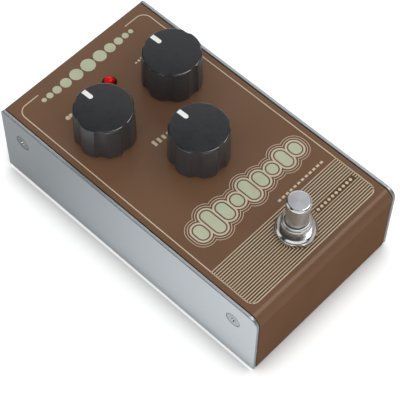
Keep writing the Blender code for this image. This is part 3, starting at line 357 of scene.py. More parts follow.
SAGE_INK = printed("sage_ink", srgb(180, 187, 157))
GROUND_INK = printed("ground_ink", srgb(86, 63, 39), Specular_IOR_Level=0.1)
DARK_INK = printed("dark_ink", srgb(84, 60, 46))
LENS_RED = lamp_lens()


# %% [markdown]
# ## The finishes inside
#
# Nobody sees the works until the base comes off, but they are finished as the real ones are: copper tracks
# under green lacquer, a wrapped battery with a coloured end, a ribbed ribbon cable with one marked edge, and
# capacitor sleeves with the pale stripe that marks the negative leg.

# %% Finishes inside
def circuit_board():
    board = Finish("board_green")
    x, y, _ = board.axes()
    wobble = board.grain(9 * MM) * (6 * MM)
    across = ((x + wobble) * (math.tau / (2.54 * MM))).sine()
    along = ((y + wobble) * (math.tau / (5.08 * MM))).sine()
    patch = board.grain(11 * MM, detail=0).between(0.47, 0.53)
    track = (across * patch + along * (1 - patch)).between(0.25, 0.55)
    weave = board.grain(0.5 * MM, stretch=(3, 1, 1))
    base = board.blend(track, srgb(16, 74, 44), srgb(34, 112, 64))
    board.give(Base_Color=board.blend(weave * 0.25, base, srgb(10, 50, 30)), Roughness=0.3 + 0.12 * weave)
    return board.relief(track, 0.03 * MM)


def battery_wrap():
    wrap = Finish("battery_wrap")
    low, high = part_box("battery")
    x, _, _ = wrap.axes(low)
    end = x.between(0.30 * (high[0] - low[0]), 0.305 * (high[0] - low[0]))
    scuff = wrap.grain(4 * MM, stretch=(3, 1, 1), detail=5)
    wrapped = wrap.blend(end, srgb(176, 112, 58), srgb(36, 37, 40))
    wrap.give(Base_Color=wrap.blend(scuff.between(0.6, 0.8) * 0.3, wrapped, srgb(120, 118, 114)))
    wrap.give(Metallic=0.6 * (1 - end), Roughness=0.28 + 0.2 * scuff)
    return wrap.relief(scuff, 0.01 * MM)


def ribbon_cable():
    cable = Finish("grey_ribbon")
    low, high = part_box("switch_ribbon")
    x, _, _ = cable.axes(low)
    ribs = (x * (math.tau / (1.0 * MM))).sine() * 0.5 + 0.5
    marked = 1 - x.between(0.9 * MM, 1.0 * MM)
    dust = cable.grain(3 * MM)
    grey = cable.blend(ribs * 0.7 + 0.3 * dust, srgb(132, 134, 138), srgb(168, 170, 173))
    cable.give(Base_Color=cable.blend(marked, grey, srgb(176, 44, 40)), Roughness=0.42 + 0.1 * dust)
    return cable.relief(ribs, 0.12 * MM)


def can_sleeve():
    sleeve = Finish("blue_sleeve")
    _, y, z = sleeve.axes(centre("filter_capacitor_1"))
    stripe = y.between(1.9 * MM, 2.0 * MM)
    end = 1 - z.between(-5.2 * MM, -5.1 * MM)
    worn = sleeve.grain(1.5 * MM)
    blue = sleeve.blend(worn, srgb(34, 46, 92), srgb(44, 58, 108))
    striped = sleeve.blend(stripe, blue, srgb(196, 200, 208))
    sleeve.give(Base_Color=sleeve.blend(end, striped, srgb(190, 191, 193)))
    sleeve.give(Metallic=end, Roughness=0.3 + 0.15 * worn)
    return sleeve.relief(worn, 0.01 * MM)


BOARD_GREEN = circuit_board()
BATTERY_WRAP = battery_wrap()
GREY_RIBBON = ribbon_cable()
BLUE_SLEEVE = can_sleeve()
SLOTS = {
    "brown_paint": BROWN, "satin_aluminium": ALUMINIUM, "zinc_steel": ZINC, "chrome": CHROME,
    "nickelled_brass": NICKEL, "black_knob": BLACK_KNOB, "black_plastic": BLACK_PLASTIC,
    "white_plastic": WHITE_PLASTIC, "cream_plastic": CREAM_PLASTIC, "red_lens": LENS_RED,
    "black_rubber": RUBBER, "board_green": BOARD_GREEN, "battery_wrap": BATTERY_WRAP,
    "red_wire": RED_WIRE, "black_wire": BLACK_WIRE, "grey_ribbon": GREY_RIBBON, "blue_sleeve": BLUE_SLEEVE,
}
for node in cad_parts.values():
    for material_slot in node.material_slots:
        material_slot.material = SLOTS[material_slot.material.name.split(".")[0]].material
print(len(SLOTS), "finishes on", len(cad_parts), "nodes")


# %% [markdown]
# ## Tools of the bench
#
# The pieces are made as one makes them by hand: a primitive at its size and place, edit mode, a choice of
# faces or edges, an operator, and modifiers at the end. These helpers only save writing the same few lines
# each time. A turned piece is a line of points pulled out by Extrude and carried round by Spin.

# %% Tools of the bench
WELD = 0.0008 * MM


def choose(thing):
    """Selects one object alone and makes it the active one."""
    bpy.ops.object.select_all(action="DESELECT")
    thing.select_set(True)
    bpy.context.view_layer.objects.active = thing


def settle(name):
    """Names the new primitive, and moves its place, turn and size into its mesh."""
    thing = bpy.context.object
    thing.name = name
    thing.data.name = name
    bpy.ops.object.transform_apply(location=True, rotation=True, scale=True)
    return thing


def cube(name, low, high):
    bpy.ops.object.select_all(action="DESELECT")
    low, high = Vector(low), Vector(high)
    bpy.ops.mesh.primitive_cube_add(size=1, location=(low + high) / 2, scale=high - low)
    return settle(name)


def drum(name, radius, start, length, axis=UP, sides=64):
    """A cylinder that starts at a point and runs along an axis."""
    bpy.ops.object.select_all(action="DESELECT")
    bpy.ops.mesh.primitive_cylinder_add(
        vertices=sides, radius=radius, depth=length, location=Vector(start) + axis * length / 2,
        rotation=UP.rotation_difference(axis).to_euler(),
    )
    return settle(name)


@contextmanager
def edit(thing, kind="FACE", start="DESELECT"):
    """Edit mode on one object, with nothing or everything selected at first."""
    choose(thing)
    bpy.ops.object.mode_set(mode="EDIT")
    bpy.ops.mesh.select_mode(type=kind)
    bpy.ops.mesh.select_all(action=start)
    yield
    bpy.ops.object.mode_set(mode="OBJECT")


def pick_faces(thing, test):
    """Selects the faces whose middle and normal pass a test."""
    mesh = bmesh.from_edit_mesh(thing.data)
    for face in mesh.faces:
        face.select_set(test(face.calc_center_median(), face.normal))
    bmesh.update_edit_mesh(thing.data)


def pick_edges(thing, test):
    """Selects the edges whose middle and direction pass a test."""
    mesh = bmesh.from_edit_mesh(thing.data)
    for edge in mesh.edges:
        first, second = (point.co for point in edge.verts)
        edge.select_set(test((first + second) / 2, (second - first).normalized()))
    bmesh.update_edit_mesh(thing.data)


def near(value, place, slack=0.05 * MM):
    return abs(value - place) < slack


def upright(at, along):
    return abs(along.z) > 0.9


def weld(thing):
    """Closes seams and poles, and turns every face outwards."""
    with edit(thing, start="SELECT"):
        bpy.ops.mesh.remove_doubles(threshold=WELD)
        bpy.ops.mesh.normals_make_consistent(inside=False)


def apply(thing, kind, **settings):
    """Adds a modifier to a piece and applies it."""
    choose(thing)
    modifier = thing.modifiers.new(kind.lower(), kind)
    for name, value in settings.items():
        setattr(modifier, name, value)
    bpy.ops.object.modifier_apply(modifier=modifier.name)


def repeat(thing, count, step):
    """A row of equal pieces in one object."""
    apply(
        thing, "ARRAY", count=count, use_relative_offset=False, use_constant_offset=True,
        constant_offset_displace=step,
    )


def carve(thing, tool, operation="DIFFERENCE"):
    """Cuts with a tool, joins it on or keeps what both share. The tool is used up."""
    apply(thing, "BOOLEAN", operation=operation, solver="EXACT", object=tool)
    discard(tool)


def stand(thing, place, axis=UP, turn=0.0):
    """Turns a piece made round +Z to an axis and moves it to its place."""
    choose(thing)
    thing.rotation_euler = (UP.rotation_difference(axis) @ Quaternion(UP, turn)).to_euler()
    thing.location = place
    bpy.ops.object.transform_apply(location=True, rotation=True, scale=True)
    return thing


def another(thing, name):
    """A copy with its own mesh."""
    choose(thing)
    bpy.ops.object.duplicate(linked=False)
    made = bpy.context.object
    made.name = name
    made.data.name = name
    return made


def polish(thing, angle=35):
    """Shades round stretches smooth, and keeps flat faces flat beside a small rounding."""
    choose(thing)
    bpy.ops.object.shade_smooth_by_angle(angle=math.radians(angle))
    apply(thing, "WEIGHTED_NORMAL", keep_sharp=True)


def blunt(thing, width, segments, angle):
    """Rounds every edge that turns by more than an angle in degrees."""
    turn = math.radians(angle)
    apply(thing, "BEVEL", width=width, segments=segments, limit_method="ANGLE", angle_limit=turn)


def soften(thing, width, segments=3, angle=38):
    """Rounds the edges that a file or a tumbler would take off."""
    blunt(thing, width, segments, angle)
    polish(thing)


def round_off(thing, radius, segments, test):
    """Rounds the edges whose middle and direction pass a test."""
    with edit(thing, "EDGE"):
        pick_edges(thing, test)
        bpy.ops.mesh.bevel(offset=radius, segments=segments, affect="EDGES")


def discard(*things):
    for thing in things:
        bpy.data.objects.remove(thing, do_unlink=True)


def pulled(name, profile):
    """A line through radii and heights: one point, extruded from each place to the next."""
    bpy.ops.object.select_all(action="DESELECT")
    bpy.ops.mesh.primitive_plane_add(size=MM)
    thing = settle(name)
    with edit(thing, "VERT", start="SELECT"):
        bpy.ops.mesh.merge(type="CENTER")
        at = Vector((0, 0, 0))
        for number, (radius, height) in enumerate(profile):
            move = Vector((radius, 0, height)) - at
            if number == 0:
                bpy.ops.transform.translate(value=move)
            else:
                bpy.ops.mesh.extrude_region_move(TRANSFORM_OT_translate={"value": move})
            at = at + move
    return thing


def turned(name, profile, place=(0, 0, 0), axis=UP, steps=64):
    """A line through radii and heights, from top to bottom, spun round an axis."""
    thing = pulled(name, profile)
    with edit(thing, "VERT", start="SELECT"):
        bpy.ops.mesh.spin(steps=steps, angle=math.tau, center=(0, 0, 0), axis=UP)
    weld(thing)
    return stand(thing, place, axis)


def arc(centre_at, radius, start, end, steps=6):
    """Points of a profile round a centre, between two angles in degrees counted from +X."""
    angles = [math.radians(start + (end - start) * k / steps) for k in range(steps + 1)]
    across, up = (radius, radius) if isinstance(radius, float) else radius
    return [(centre_at[0] + across * math.cos(a), centre_at[1] + up * math.sin(a)) for a in angles]


def thread(name, core, crest, pitch, low, high):
    """A screw thread's ridge round the Z axis, its root sunk into the core."""
    half = 0.48 * pitch
    outline = [(core, half), (crest, 0.1 * pitch), (crest, -0.1 * pitch), (core, -half), (core, half)]
    ridge = pulled(name, [(radius, low + half + height) for radius, height in outline])
    with edit(ridge, "VERT", start="SELECT"):
        bpy.ops.mesh.remove_doubles(threshold=WELD)
    turns = max(1, int((high - low) / pitch) - 1)
    apply(
        ridge, "SCREW", axis="Z", screw_offset=pitch, iterations=turns, steps=32, render_steps=32,
        use_merge_vertices=True, merge_threshold=WELD,
    )
    with edit(ridge, "EDGE"):
        bpy.ops.mesh.select_non_manifold()
        bpy.ops.mesh.edge_face_add()
    weld(ridge)
    return ridge


def joined(thing, *others):
    """One object that holds several closed shells."""
    choose(thing)
    for other in others:
        other.select_set(True)
    bpy.ops.object.join()
    return thing


def fit(piece, finish, slot, *nodes, body="case"):
    """Gives a piece its finish and the body it rides on, and hides the nodes that it stands for."""
    piece.data.materials.clear()
    piece.data.materials.append(finish.material)
    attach(piece, body)
    if nodes:
        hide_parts(*nodes)
    return piece


def coat(piece, finish, test):
    """Gives the faces whose middle and normal pass a test a finish of their own."""
    piece.data.materials.append(finish.material)
    with edit(piece):
        pick_faces(piece, test)
        piece.active_material_index = len(piece.data.materials) - 1
        bpy.ops.object.material_slot_assign()


def fit_copy(pattern, name, place, finish, slot, *nodes, axis=UP, turn=0, body="case", angle=35):
    """Stands a copy of a pattern in its place, turned in degrees, polishes it and fits it."""
    made = stand(another(pattern, name), place, axis, math.radians(turn))
    polish(made, angle)
    return fit(made, finish, slot, *nodes, body=body)


# %% [markdown]
# ## The bent shell
#
# The shell is one sheet of steel folded down at the front and rear, with a much rounder bend at the front,
# where the foot comes down. It starts as a cube. Its sides and bottom are deleted, the two long edges are
# bevelled to the bends, and Solidify gives it the sheet's thickness. Ears folded in at the four corners take
# the screws, and holes let the controls and sockets through.

# %% Bent shell
SHEET = 1.5 * MM
FRONT_BEND = 4.2 * MM
REAR_BEND = 1.8 * MM
HOLE_ROOM = 0.3 * MM
SCREW_HOLE = 1.55 * MM
shell_low, shell_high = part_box("top_shell")
shell = cube("bent_shell", shell_low, shell_high)
with edit(shell):
    pick_faces(shell, lambda at, normal: abs(normal.x) > 0.9 or normal.z < -0.9)
    bpy.ops.mesh.delete(type="FACE")
for bend_y, bend in ((shell_low[1], FRONT_BEND), (shell_high[1], REAR_BEND)):
    round_off(shell, bend, 16, lambda at, along: near(at.z, PANEL) and near(at.y, bend_y))
apply(shell, "SOLIDIFY", thickness=SHEET, offset=-1.0, use_even_offset=True)
blunt(shell, 0.18 * MM, 2, 60)

EAR_LENGTH = 16.0 * MM
EAR_TOP = PANEL - 6.0 * MM
EAR_IN = 0.2 * MM
SEAT = Vector((10.0, 9.0, 1.5)) * MM
ear_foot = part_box("base_plate")[1][2] + 0.3 * MM
for end_y, inward in ((FRONT, 1), (REAR, -1)):
    for side in (-1, 1):
        outer = side * (shell_high[0] - EAR_IN)
        wall = end_y + inward * SHEET / 2
        reach = end_y + inward * (SHEET + EAR_LENGTH)
        ear = cube("ear", (min(outer, outer - side * SHEET), min(wall, reach), ear_foot),
                   (max(outer, outer - side * SHEET), max(wall, reach), EAR_TOP))
        carve(shell, ear, "UNION")
        inner = outer - side * (SHEET / 2 + SEAT.x)
        near_side = outer - side * SHEET / 2
        seat_end = end_y + inward * (SHEET + SEAT.y)
        seat = cube("seat", (min(inner, near_side), min(wall, seat_end), ear_foot),
                    (max(inner, near_side), max(wall, seat_end), ear_foot + SEAT.z))
        carve(shell, seat, "UNION")

# Each hole is a little wider than what passes through it.
KNOBS = ("time", "mix", "repeats")
through_panel = [(centre(f"{name}_pot_nut"), 3.5 * MM) for name in KNOBS]
through_panel += [(centre("lamp"), 2.5 * MM), (centre("footswitch_nut"), 5.75 * MM)]
through_rear = [(centre(f"{name}_jack_nut"), 4.7 * MM) for name in ("input", "output")]
through_rear += [(centre("power_jack"), 5.2 * MM)]
for place, radius in through_panel:
    start = (place.x, place.y, PANEL - SHEET - MM)
    carve(shell, drum("panel_drill", radius + HOLE_ROOM, start, SHEET + 2 * MM))
for place, radius in through_rear:
    start = (place.x, REAR - SHEET - MM, place.z)
    carve(shell, drum("rear_drill", radius + HOLE_ROOM, start, SHEET + 2 * MM, REARWARD))
for number in range(1, 5):
    place = centre(f"side_screw_{number}")
    start = (math.copysign(shell_high[0] + MM, place.x), place.y, place.z)
    carve(shell, drum("ear_drill", SCREW_HOLE, start, 4 * MM, RIGHT * -math.copysign(1, place.x), 24))
    place = centre(f"base_screw_{number}")
    carve(shell, drum("seat_drill", SCREW_HOLE, (place.x, place.y, ear_foot - MM), 4 * MM, UP, 24))
rims = [((at.x, at.y), radius + HOLE_ROOM) for at, radius in through_panel]
round_off(shell, 0.15 * MM, 2, lambda at, along: near(at.z, PANEL) and any(
    near(math.hypot(at.x - x, at.y - y), radius, 0.03 * MM) for (x, y), radius in rims))
polish(shell)
fit(shell, BROWN, "brown_paint", "top_shell")
print("shell:", len(shell.data.polygons), "faces")

# %% [markdown]
# ## Side plates, base and feet
#
# Each side plate follows the shell's two bends with its own rounded corners, and its edges are broken with a
# fine radius that catches the light all round. A turned tool sinks the screw holes. The right plate is the
# left one mirrored, so its normals are worked out again.

# %% Side plates, base and feet
def sink(head, cone, sheet):
    """The shape that a countersink and drill leave, its face at Z = 0 and its head up."""
    profile = [
        (0, MM), (head, MM), (head, -HEAD_RIM), (SCREW_HOLE, -HEAD_RIM - cone),
        (SCREW_HOLE, -sheet - MM), (0, -sheet - MM),
    ]
    return turned("sink", profile, steps=48)


HEAD_RIM = 0.25 * MM
SIDE_HEAD, SIDE_CONE = 3.05 * MM, 0.95 * MM
BASE_HEAD, BASE_CONE = 2.5 * MM, 0.75 * MM
RIM_ROOM = 0.22 * MM
plate_low, plate_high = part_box("left_side_plate")
left_plate = cube("left_plate", plate_low, plate_high)
for corner_y, corner_z, radius in (
    (FRONT, PANEL, 4.0 * MM), (REAR, PANEL, 1.5 * MM),
    (FRONT, plate_low[2], 0.5 * MM), (REAR, plate_low[2], 0.5 * MM),
):
    round_off(left_plate, radius, 14, lambda at, along: near(at.y, corner_y) and near(at.z, corner_z))
blunt(left_plate, 0.3 * MM, 3, 60)
for number in (1, 3):
    place = centre(f"side_screw_{number}")
    tool = stand(sink(SIDE_HEAD + RIM_ROOM, SIDE_CONE, 1.4 * MM), (-HALF_WIDTH, place.y, place.z), -RIGHT)
    carve(left_plate, tool)
polish(left_plate)
right_plate = another(left_plate, "right_plate")
with edit(right_plate, start="SELECT"):
    bpy.ops.transform.resize(value=(-1, 1, 1), center_override=(0, 0, 0))
    bpy.ops.mesh.normals_make_consistent(inside=False)
polish(right_plate)
fit(left_plate, ALUMINIUM, "satin_aluminium", "left_side_plate")
fit(right_plate, ALUMINIUM, "satin_aluminium", "right_side_plate")

base_low, base_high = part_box("base_plate")
base = cube("base_sheet", base_low, base_high)
round_off(base, 1.0 * MM, 5, upright)
blunt(base, 0.15 * MM, 2, 60)
for number in range(1, 5):
    place = centre(f"base_screw_{number}")
    carve(base, stand(sink(BASE_HEAD + RIM_ROOM, BASE_CONE, 1.2 * MM), (place.x, place.y, base_low[2]), -UP))
    place = centre(f"rubber_foot_{number}")
    carve(base, drum("foot_drill", 2.5 * MM, (place.x, place.y, base_low[2] - MM), 4 * MM, UP, 32))
polish(base)
fit(base, ZINC, "zinc_steel", "base_plate")

FOOT_RADIUS, FOOT_HEIGHT, FOOT_ROUND, FOOT_CHAMFER = 6.0 * MM, 1.2 * MM, 0.5 * MM, 0.3 * MM
STEM_RADIUS, BARB_RADIUS, BARB_TIP, BARB_HEIGHT = 2.2 * MM, 2.9 * MM, 1.8 * MM, 0.9 * MM
DIMPLE, DIMPLE_EDGE, DIMPLE_DEPTH = 2.8 * MM, 3.2 * MM, 0.25 * MM
foot_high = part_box("rubber_foot_1")[1][2]
foot_profile = [
    (0, foot_high), (BARB_TIP, foot_high),
    (BARB_RADIUS, foot_high - BARB_HEIGHT), (STEM_RADIUS, foot_high - BARB_HEIGHT),
    (STEM_RADIUS, FOOT_HEIGHT), (FOOT_RADIUS - FOOT_CHAMFER, FOOT_HEIGHT),
    (FOOT_RADIUS, FOOT_HEIGHT - FOOT_CHAMFER),
    *arc((FOOT_RADIUS - FOOT_ROUND, FOOT_ROUND), FOOT_ROUND, 0, -90),
    (DIMPLE_EDGE, 0), (DIMPLE, DIMPLE_DEPTH), (0, DIMPLE_DEPTH),
]
foot = turned("foot", foot_profile, steps=48)
for number in range(1, 5):
    node = f"rubber_foot_{number}"
    place = (centre(node).x, centre(node).y, 0)
    fit_copy(foot, f"foot_{number}", place, RUBBER, "black_rubber", node)
discard(foot)


# %% [markdown]
# ## Cross-recess screws
#
# A countersunk head sits flush in its plate. The recess is a cross whose wings taper as they go down, round
# a small cone, so the driver centres itself. It is modelled once for each size of head, and each screw is a
# copy turned at random, as an assembler leaves them.

# %% Cross-recess screws
def cross_screw(head, cone, length):
    """A flat-headed screw round +Z with its face at Z = 0."""
    shank, root, pitch = 1.25 * MM, 1.05 * MM, 0.6 * MM
    profile = [
        (0, 0), (head - 0.12 * MM, 0), (head, -0.12 * MM), (head, -HEAD_RIM), (shank, -HEAD_RIM - cone),
    ]
    height = -0.4 * MM - cone
    while height > -length + 2 * pitch:
        profile += [(root, height - 0.2 * pitch)]
        profile += [(shank, height - 0.7 * pitch), (shank, height - 0.9 * pitch)]
        height -= pitch
    profile += [(root, -length + 0.3 * MM), (root - 0.3 * MM, -length), (0, -length)]
    screw = turned("screw", profile, steps=40)
    depth = 0.8 * cone
    for reach, width in ((0.52 * head, 0.35 * MM), (0.35 * MM, 0.52 * head)):
        wing = cube("wing", (-reach, -width, -depth), (reach, width, MM))
        with edit(wing):
            pick_faces(wing, lambda at, normal: normal.z < -0.9)
            bpy.ops.transform.resize(value=(0.6, 0.6, 1), center_override=(0, 0, -depth))
        carve(screw, wing)
    cup = turned("cup", [(0, MM), (0.3 * head, MM), (0.3 * head, 0), (0, -depth - 0.15 * MM)], steps=20)
    carve(screw, cup)
    return screw


def in_recess(at):
    """True inside the cross of a side screw whose box has its middle at the origin."""
    return math.hypot(at.y, at.z) < 0.55 * SIDE_HEAD and RECESS_LOW < abs(at.x) < RECESS_HIGH


side_screw = cross_screw(SIDE_HEAD, SIDE_CONE, 6 * MM)
screw_low, screw_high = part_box("side_screw_1")
RECESS_HIGH = (screw_high[0] - screw_low[0]) / 2 - 0.05 * MM
RECESS_LOW = RECESS_HIGH - 1.0 * MM
base_screw = cross_screw(BASE_HEAD, BASE_CONE, 6 * MM)
for number, (side_turn, base_turn) in enumerate(((22, 68), (51, 15), (70, 40), (8, 80)), 1):
    node = f"side_screw_{number}"
    place = centre(node)
    outward = RIGHT * math.copysign(1, place.x)
    head_at = (outward.x * HALF_WIDTH, place.y, place.z)
    screw = fit_copy(
        side_screw, f"side_cross_screw_{number}", head_at, SCREW_STEEL, "zinc_steel", node,
        axis=outward, turn=side_turn,
    )
    # Painted highlight: the cross recess gets bright chrome, so it glints against the darker head.
    coat(screw, CHROME, lambda at, normal: in_recess(at - place))
    node = f"base_screw_{number}"
    head_at = (centre(node).x, centre(node).y, base_low[2])
    fit_copy(
        base_screw, f"base_cross_screw_{number}", head_at, ZINC, "zinc_steel", node,
        axis=-UP, turn=base_turn,
    )
discard(side_screw, base_screw)

# %% [markdown]
# ## The knobs
#
# The knobs are one moulding used three times: a drum whose skirt widens slightly towards the panel, a top
# edge rounded off in a quarter oval, and seven finger flutes. The drum is turned, the flutes are cut with
# seven round tools, and a bevel takes the sharpness off their lands. Underneath is a hollow with the boss
# that grips the shaft. The mould was satin on the sides and polished at the rounded edge, so both have a
# finish of their own, picked by the slope of the faces. The sides are also painted a lighter grey than the
# top, for the light that they catch. The pointer is a white inlay, square at the rim and round towards the
# middle.

# %% Knobs
KNOB_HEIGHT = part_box("time_knob")[1][2] - PANEL
KNOB_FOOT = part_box("time_knob")[0][2] - PANEL
KNOB_FLAT, KNOB_SHOULDER, KNOB_SKIRT = 10.45 * MM, 11.25 * MM, 11.5 * MM
CROWN = 0.35 * MM
SHOULDER_DROP = 1.05 * MM
FLUTES, FLUTE_FLOOR, FLUTE_RADIUS = 7, 10.45 * MM, 4.1 * MM
SHAFT_HOLE = 3.3 * MM
HOLLOW, HOLLOW_DEPTH, BOSS_DEPTH = 7.5 * MM, 5.0 * MM, 2.9 * MM
POINTER_HALF, POINTER_IN, POINTER_OUT, POINTER_DEPTH = 0.925 * MM, 5.7 * MM, 10.4 * MM, 1.0 * MM
SKIRT_SLOPE, TOP_SLOPE = 0.3, 0.97
crown = [(KNOB_FLAT * k / 6, KNOB_HEIGHT - CROWN * (k / 6) ** 2) for k in range(6)]
shoulder_width, shoulder_fall = KNOB_SHOULDER - KNOB_FLAT, SHOULDER_DROP - CROWN
shoulder = arc((KNOB_FLAT, KNOB_HEIGHT - SHOULDER_DROP), (shoulder_width, shoulder_fall), 86, 0, 8)
under = KNOB_FOOT + HOLLOW_DEPTH
knob_profile = [
    *crown, *shoulder, (KNOB_SKIRT, KNOB_FOOT + 0.3 * MM), (KNOB_SKIRT - 0.25 * MM, KNOB_FOOT),
    (HOLLOW, KNOB_FOOT), (HOLLOW, under), (SHAFT_HOLE, under), (SHAFT_HOLE, KNOB_HEIGHT - BOSS_DEPTH),
    (0, KNOB_HEIGHT - BOSS_DEPTH),
]
knob = turned("knob", knob_profile, steps=140)
for k in range(FLUTES):
    angle = math.pi / 2 + math.pi / FLUTES * (2 * k + 1)
    reach = FLUTE_FLOOR + FLUTE_RADIUS
    start = (reach * math.cos(angle), reach * math.sin(angle), -MM)
    carve(knob, drum("flute", FLUTE_RADIUS, start, KNOB_HEIGHT + 2 * MM, UP, 96))
blunt(knob, 0.22 * MM, 3, 32)


def pointer_block(name, grow, low, high):
    """The pointer's outline between two heights: half a disc, drawn out to the rim of the knob."""
    half = POINTER_HALF + grow
    middle = POINTER_IN + POINTER_HALF
    block = drum(name, half, (0, middle, low), high - low, UP, 32)
    with edit(block, start="SELECT"):
        bpy.ops.mesh.bisect(
            plane_co=(0, middle, 0), plane_no=REARWARD, use_fill=True, clear_outer=True)
    with edit(block):
        pick_faces(block, lambda at, normal: normal.y > 0.95)
        rim = POINTER_OUT + grow
        bpy.ops.mesh.extrude_region_move(TRANSFORM_OT_translate={"value": (0, rim - middle, 0)})
    weld(block)
    return block


POCKET_ROOM = 0.03 * MM
pointer_low = KNOB_HEIGHT - POINTER_DEPTH
carve(knob, pointer_block("pocket", POCKET_ROOM, pointer_low - POCKET_ROOM, KNOB_HEIGHT + MM))
pointer = pointer_block("pointer", 0, pointer_low, KNOB_HEIGHT + MM)
face = [*crown, (KNOB_FLAT, KNOB_HEIGHT - CROWN), (12 * MM, KNOB_HEIGHT - CROWN), (12 * MM, 0), (0, 0)]
carve(pointer, turned("crowned_face", face, steps=140), "INTERSECT")
blunt(pointer, 0.08 * MM, 2, 60)
for name in KNOBS:
    place = centre(f"{name}_pot_nut")
    place.z = PANEL
    body = f"{name}_turning"
    top = fit_copy(
        knob, f"{name}_fluted_knob", place, BLACK_KNOB, "black_knob", f"{name}_knob", body=body, angle=30)
    # The skirt faces get the lighter grey, painted light on the knob's sides.
    coat(top, SKIRT_BLACK_PAINTED_LIGHTER, lambda at, normal: normal.z < SKIRT_SLOPE)
    coat(top, SHOULDER_BLACK, lambda at, normal: SKIRT_SLOPE <= normal.z < TOP_SLOPE)
    fit_copy(pointer, f"{name}_inlay", place, WHITE_PLASTIC, "white_plastic", f"{name}_pointer", body=body)
discard(knob, pointer)
print("knob:", KNOB_HEIGHT / MM, "mm high over the panel")

# %% [markdown]
# ## The lamp
#
# An ordinary 5 mm lamp with a diffused red lens: a short cylinder under a half ball, with a flange that
# stops it behind the panel.

# %% Lamp
lamp_low, lamp_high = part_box("lamp")
LAMP_RADIUS, LAMP_FLANGE = 2.5 * MM, 2.9 * MM
dome_foot = lamp_high[2] - LAMP_RADIUS
lamp_profile = [
    *arc((0, dome_foot), LAMP_RADIUS, 90, 0, 14), (LAMP_RADIUS, lamp_low[2] + 1.15 * MM),
    (LAMP_RADIUS + 0.1 * MM, lamp_low[2] + MM), (LAMP_FLANGE - 0.1 * MM, lamp_low[2] + MM),
    (LAMP_FLANGE, lamp_low[2] + 0.9 * MM), (LAMP_FLANGE, lamp_low[2]), (0, lamp_low[2]),
]
lens = turned("lamp_lens", lamp_profile, (centre("lamp").x, centre("lamp").y, 0))
polish(lens)
fit(lens, LENS_RED, "red_lens", "lamp")


# %% [markdown]
# ## The foot switch
#
# A stomp switch is a box of contacts under the panel, with a threaded bush that comes up through it and a
# chromed plunger inside the bush. The dress nut that clamps it is a hexagon turned down to a dome, which
# leaves six small flats at its foot. The plunger widens to a cap with a rounded edge, and its top was faced
# on a lathe, so it is a material of its own on that one face. The bush is plain above the nut and threaded
# below. A coil spring lifts the plunger: a circle of wire wound up round the axis by a Screw modifier.

# %% Foot switch
switch = centre("footswitch_plunger")
switch_at = Vector((switch.x, switch.y, 0))
CAP_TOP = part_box("footswitch_plunger")[1][2]
CAP_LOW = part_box("footswitch_plunger")[0][2]
BUSH_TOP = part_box("footswitch_body")[1][2]
COLLAR, COLLAR_HEIGHT = 5.4 * MM, 1.5 * MM
STEM = 4.25 * MM
CAP_FLAT, CAP_RADIUS, CAP_BURR = 3.86 * MM, 4.64 * MM, 0.12 * MM
cap_round_at = (3.3 * MM, CAP_TOP - 1.15 * MM)
cap_profile = [
    (0, CAP_TOP), (CAP_FLAT, CAP_TOP),
    *arc((CAP_FLAT, CAP_TOP - CAP_BURR), CAP_BURR, 90, 60, 3),
    *arc(cap_round_at, 1.34 * MM, 57, 12, 8), (CAP_RADIUS, CAP_TOP - 1.2 * MM),
    (STEM, CAP_TOP - 8.3 * MM), (STEM, CAP_LOW + COLLAR_HEIGHT),
    (COLLAR - 0.1 * MM, CAP_LOW + COLLAR_HEIGHT), (COLLAR, CAP_LOW + COLLAR_HEIGHT - 0.1 * MM),
    (COLLAR, CAP_LOW), (0, CAP_LOW),
]
plunger = turned("switch_plunger", cap_profile, switch_at, steps=96)
polish(plunger)
fit(plunger, CHROME, "chrome", "footswitch_plunger", body="switch_cap")
coat(plunger, FACED_CHROME, lambda at, normal: near(at.z, CAP_TOP, 0.01 * MM))
coat(plunger, SATIN_CHROME, lambda at, normal: at.z <= CAP_TOP - 1.3 * MM)

spring_low, spring_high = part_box("footswitch_spring")
WIRE = 0.35 * MM
SPRING_TURNS = 4.5
coil_radius = (spring_high[0] - spring_low[0]) / 2 - WIRE
bpy.ops.object.select_all(action="DESELECT")
bpy.ops.mesh.primitive_circle_add(
    vertices=12, radius=WIRE, location=(coil_radius, 0, spring_low[2] + WIRE), rotation=(math.pi / 2, 0, 0))
spring = settle("switch_spring")
spring_height = spring_high[2] - spring_low[2]
apply(
    spring, "SCREW", axis="Z", screw_offset=spring_height - 2 * WIRE, angle=SPRING_TURNS * math.tau,
    iterations=1, steps=144, render_steps=144,
)
with edit(spring, "EDGE", start="SELECT"):
    bpy.ops.mesh.fill_holes(sides=0)
weld(spring)
stand(spring, switch_at)
polish(spring)
fit(spring, ZINC, "zinc_steel", "footswitch_spring")
foot = (switch.x, switch.y, spring_low[2])
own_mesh(spring)
print("spring:", len(spring.data.polygons), "faces")

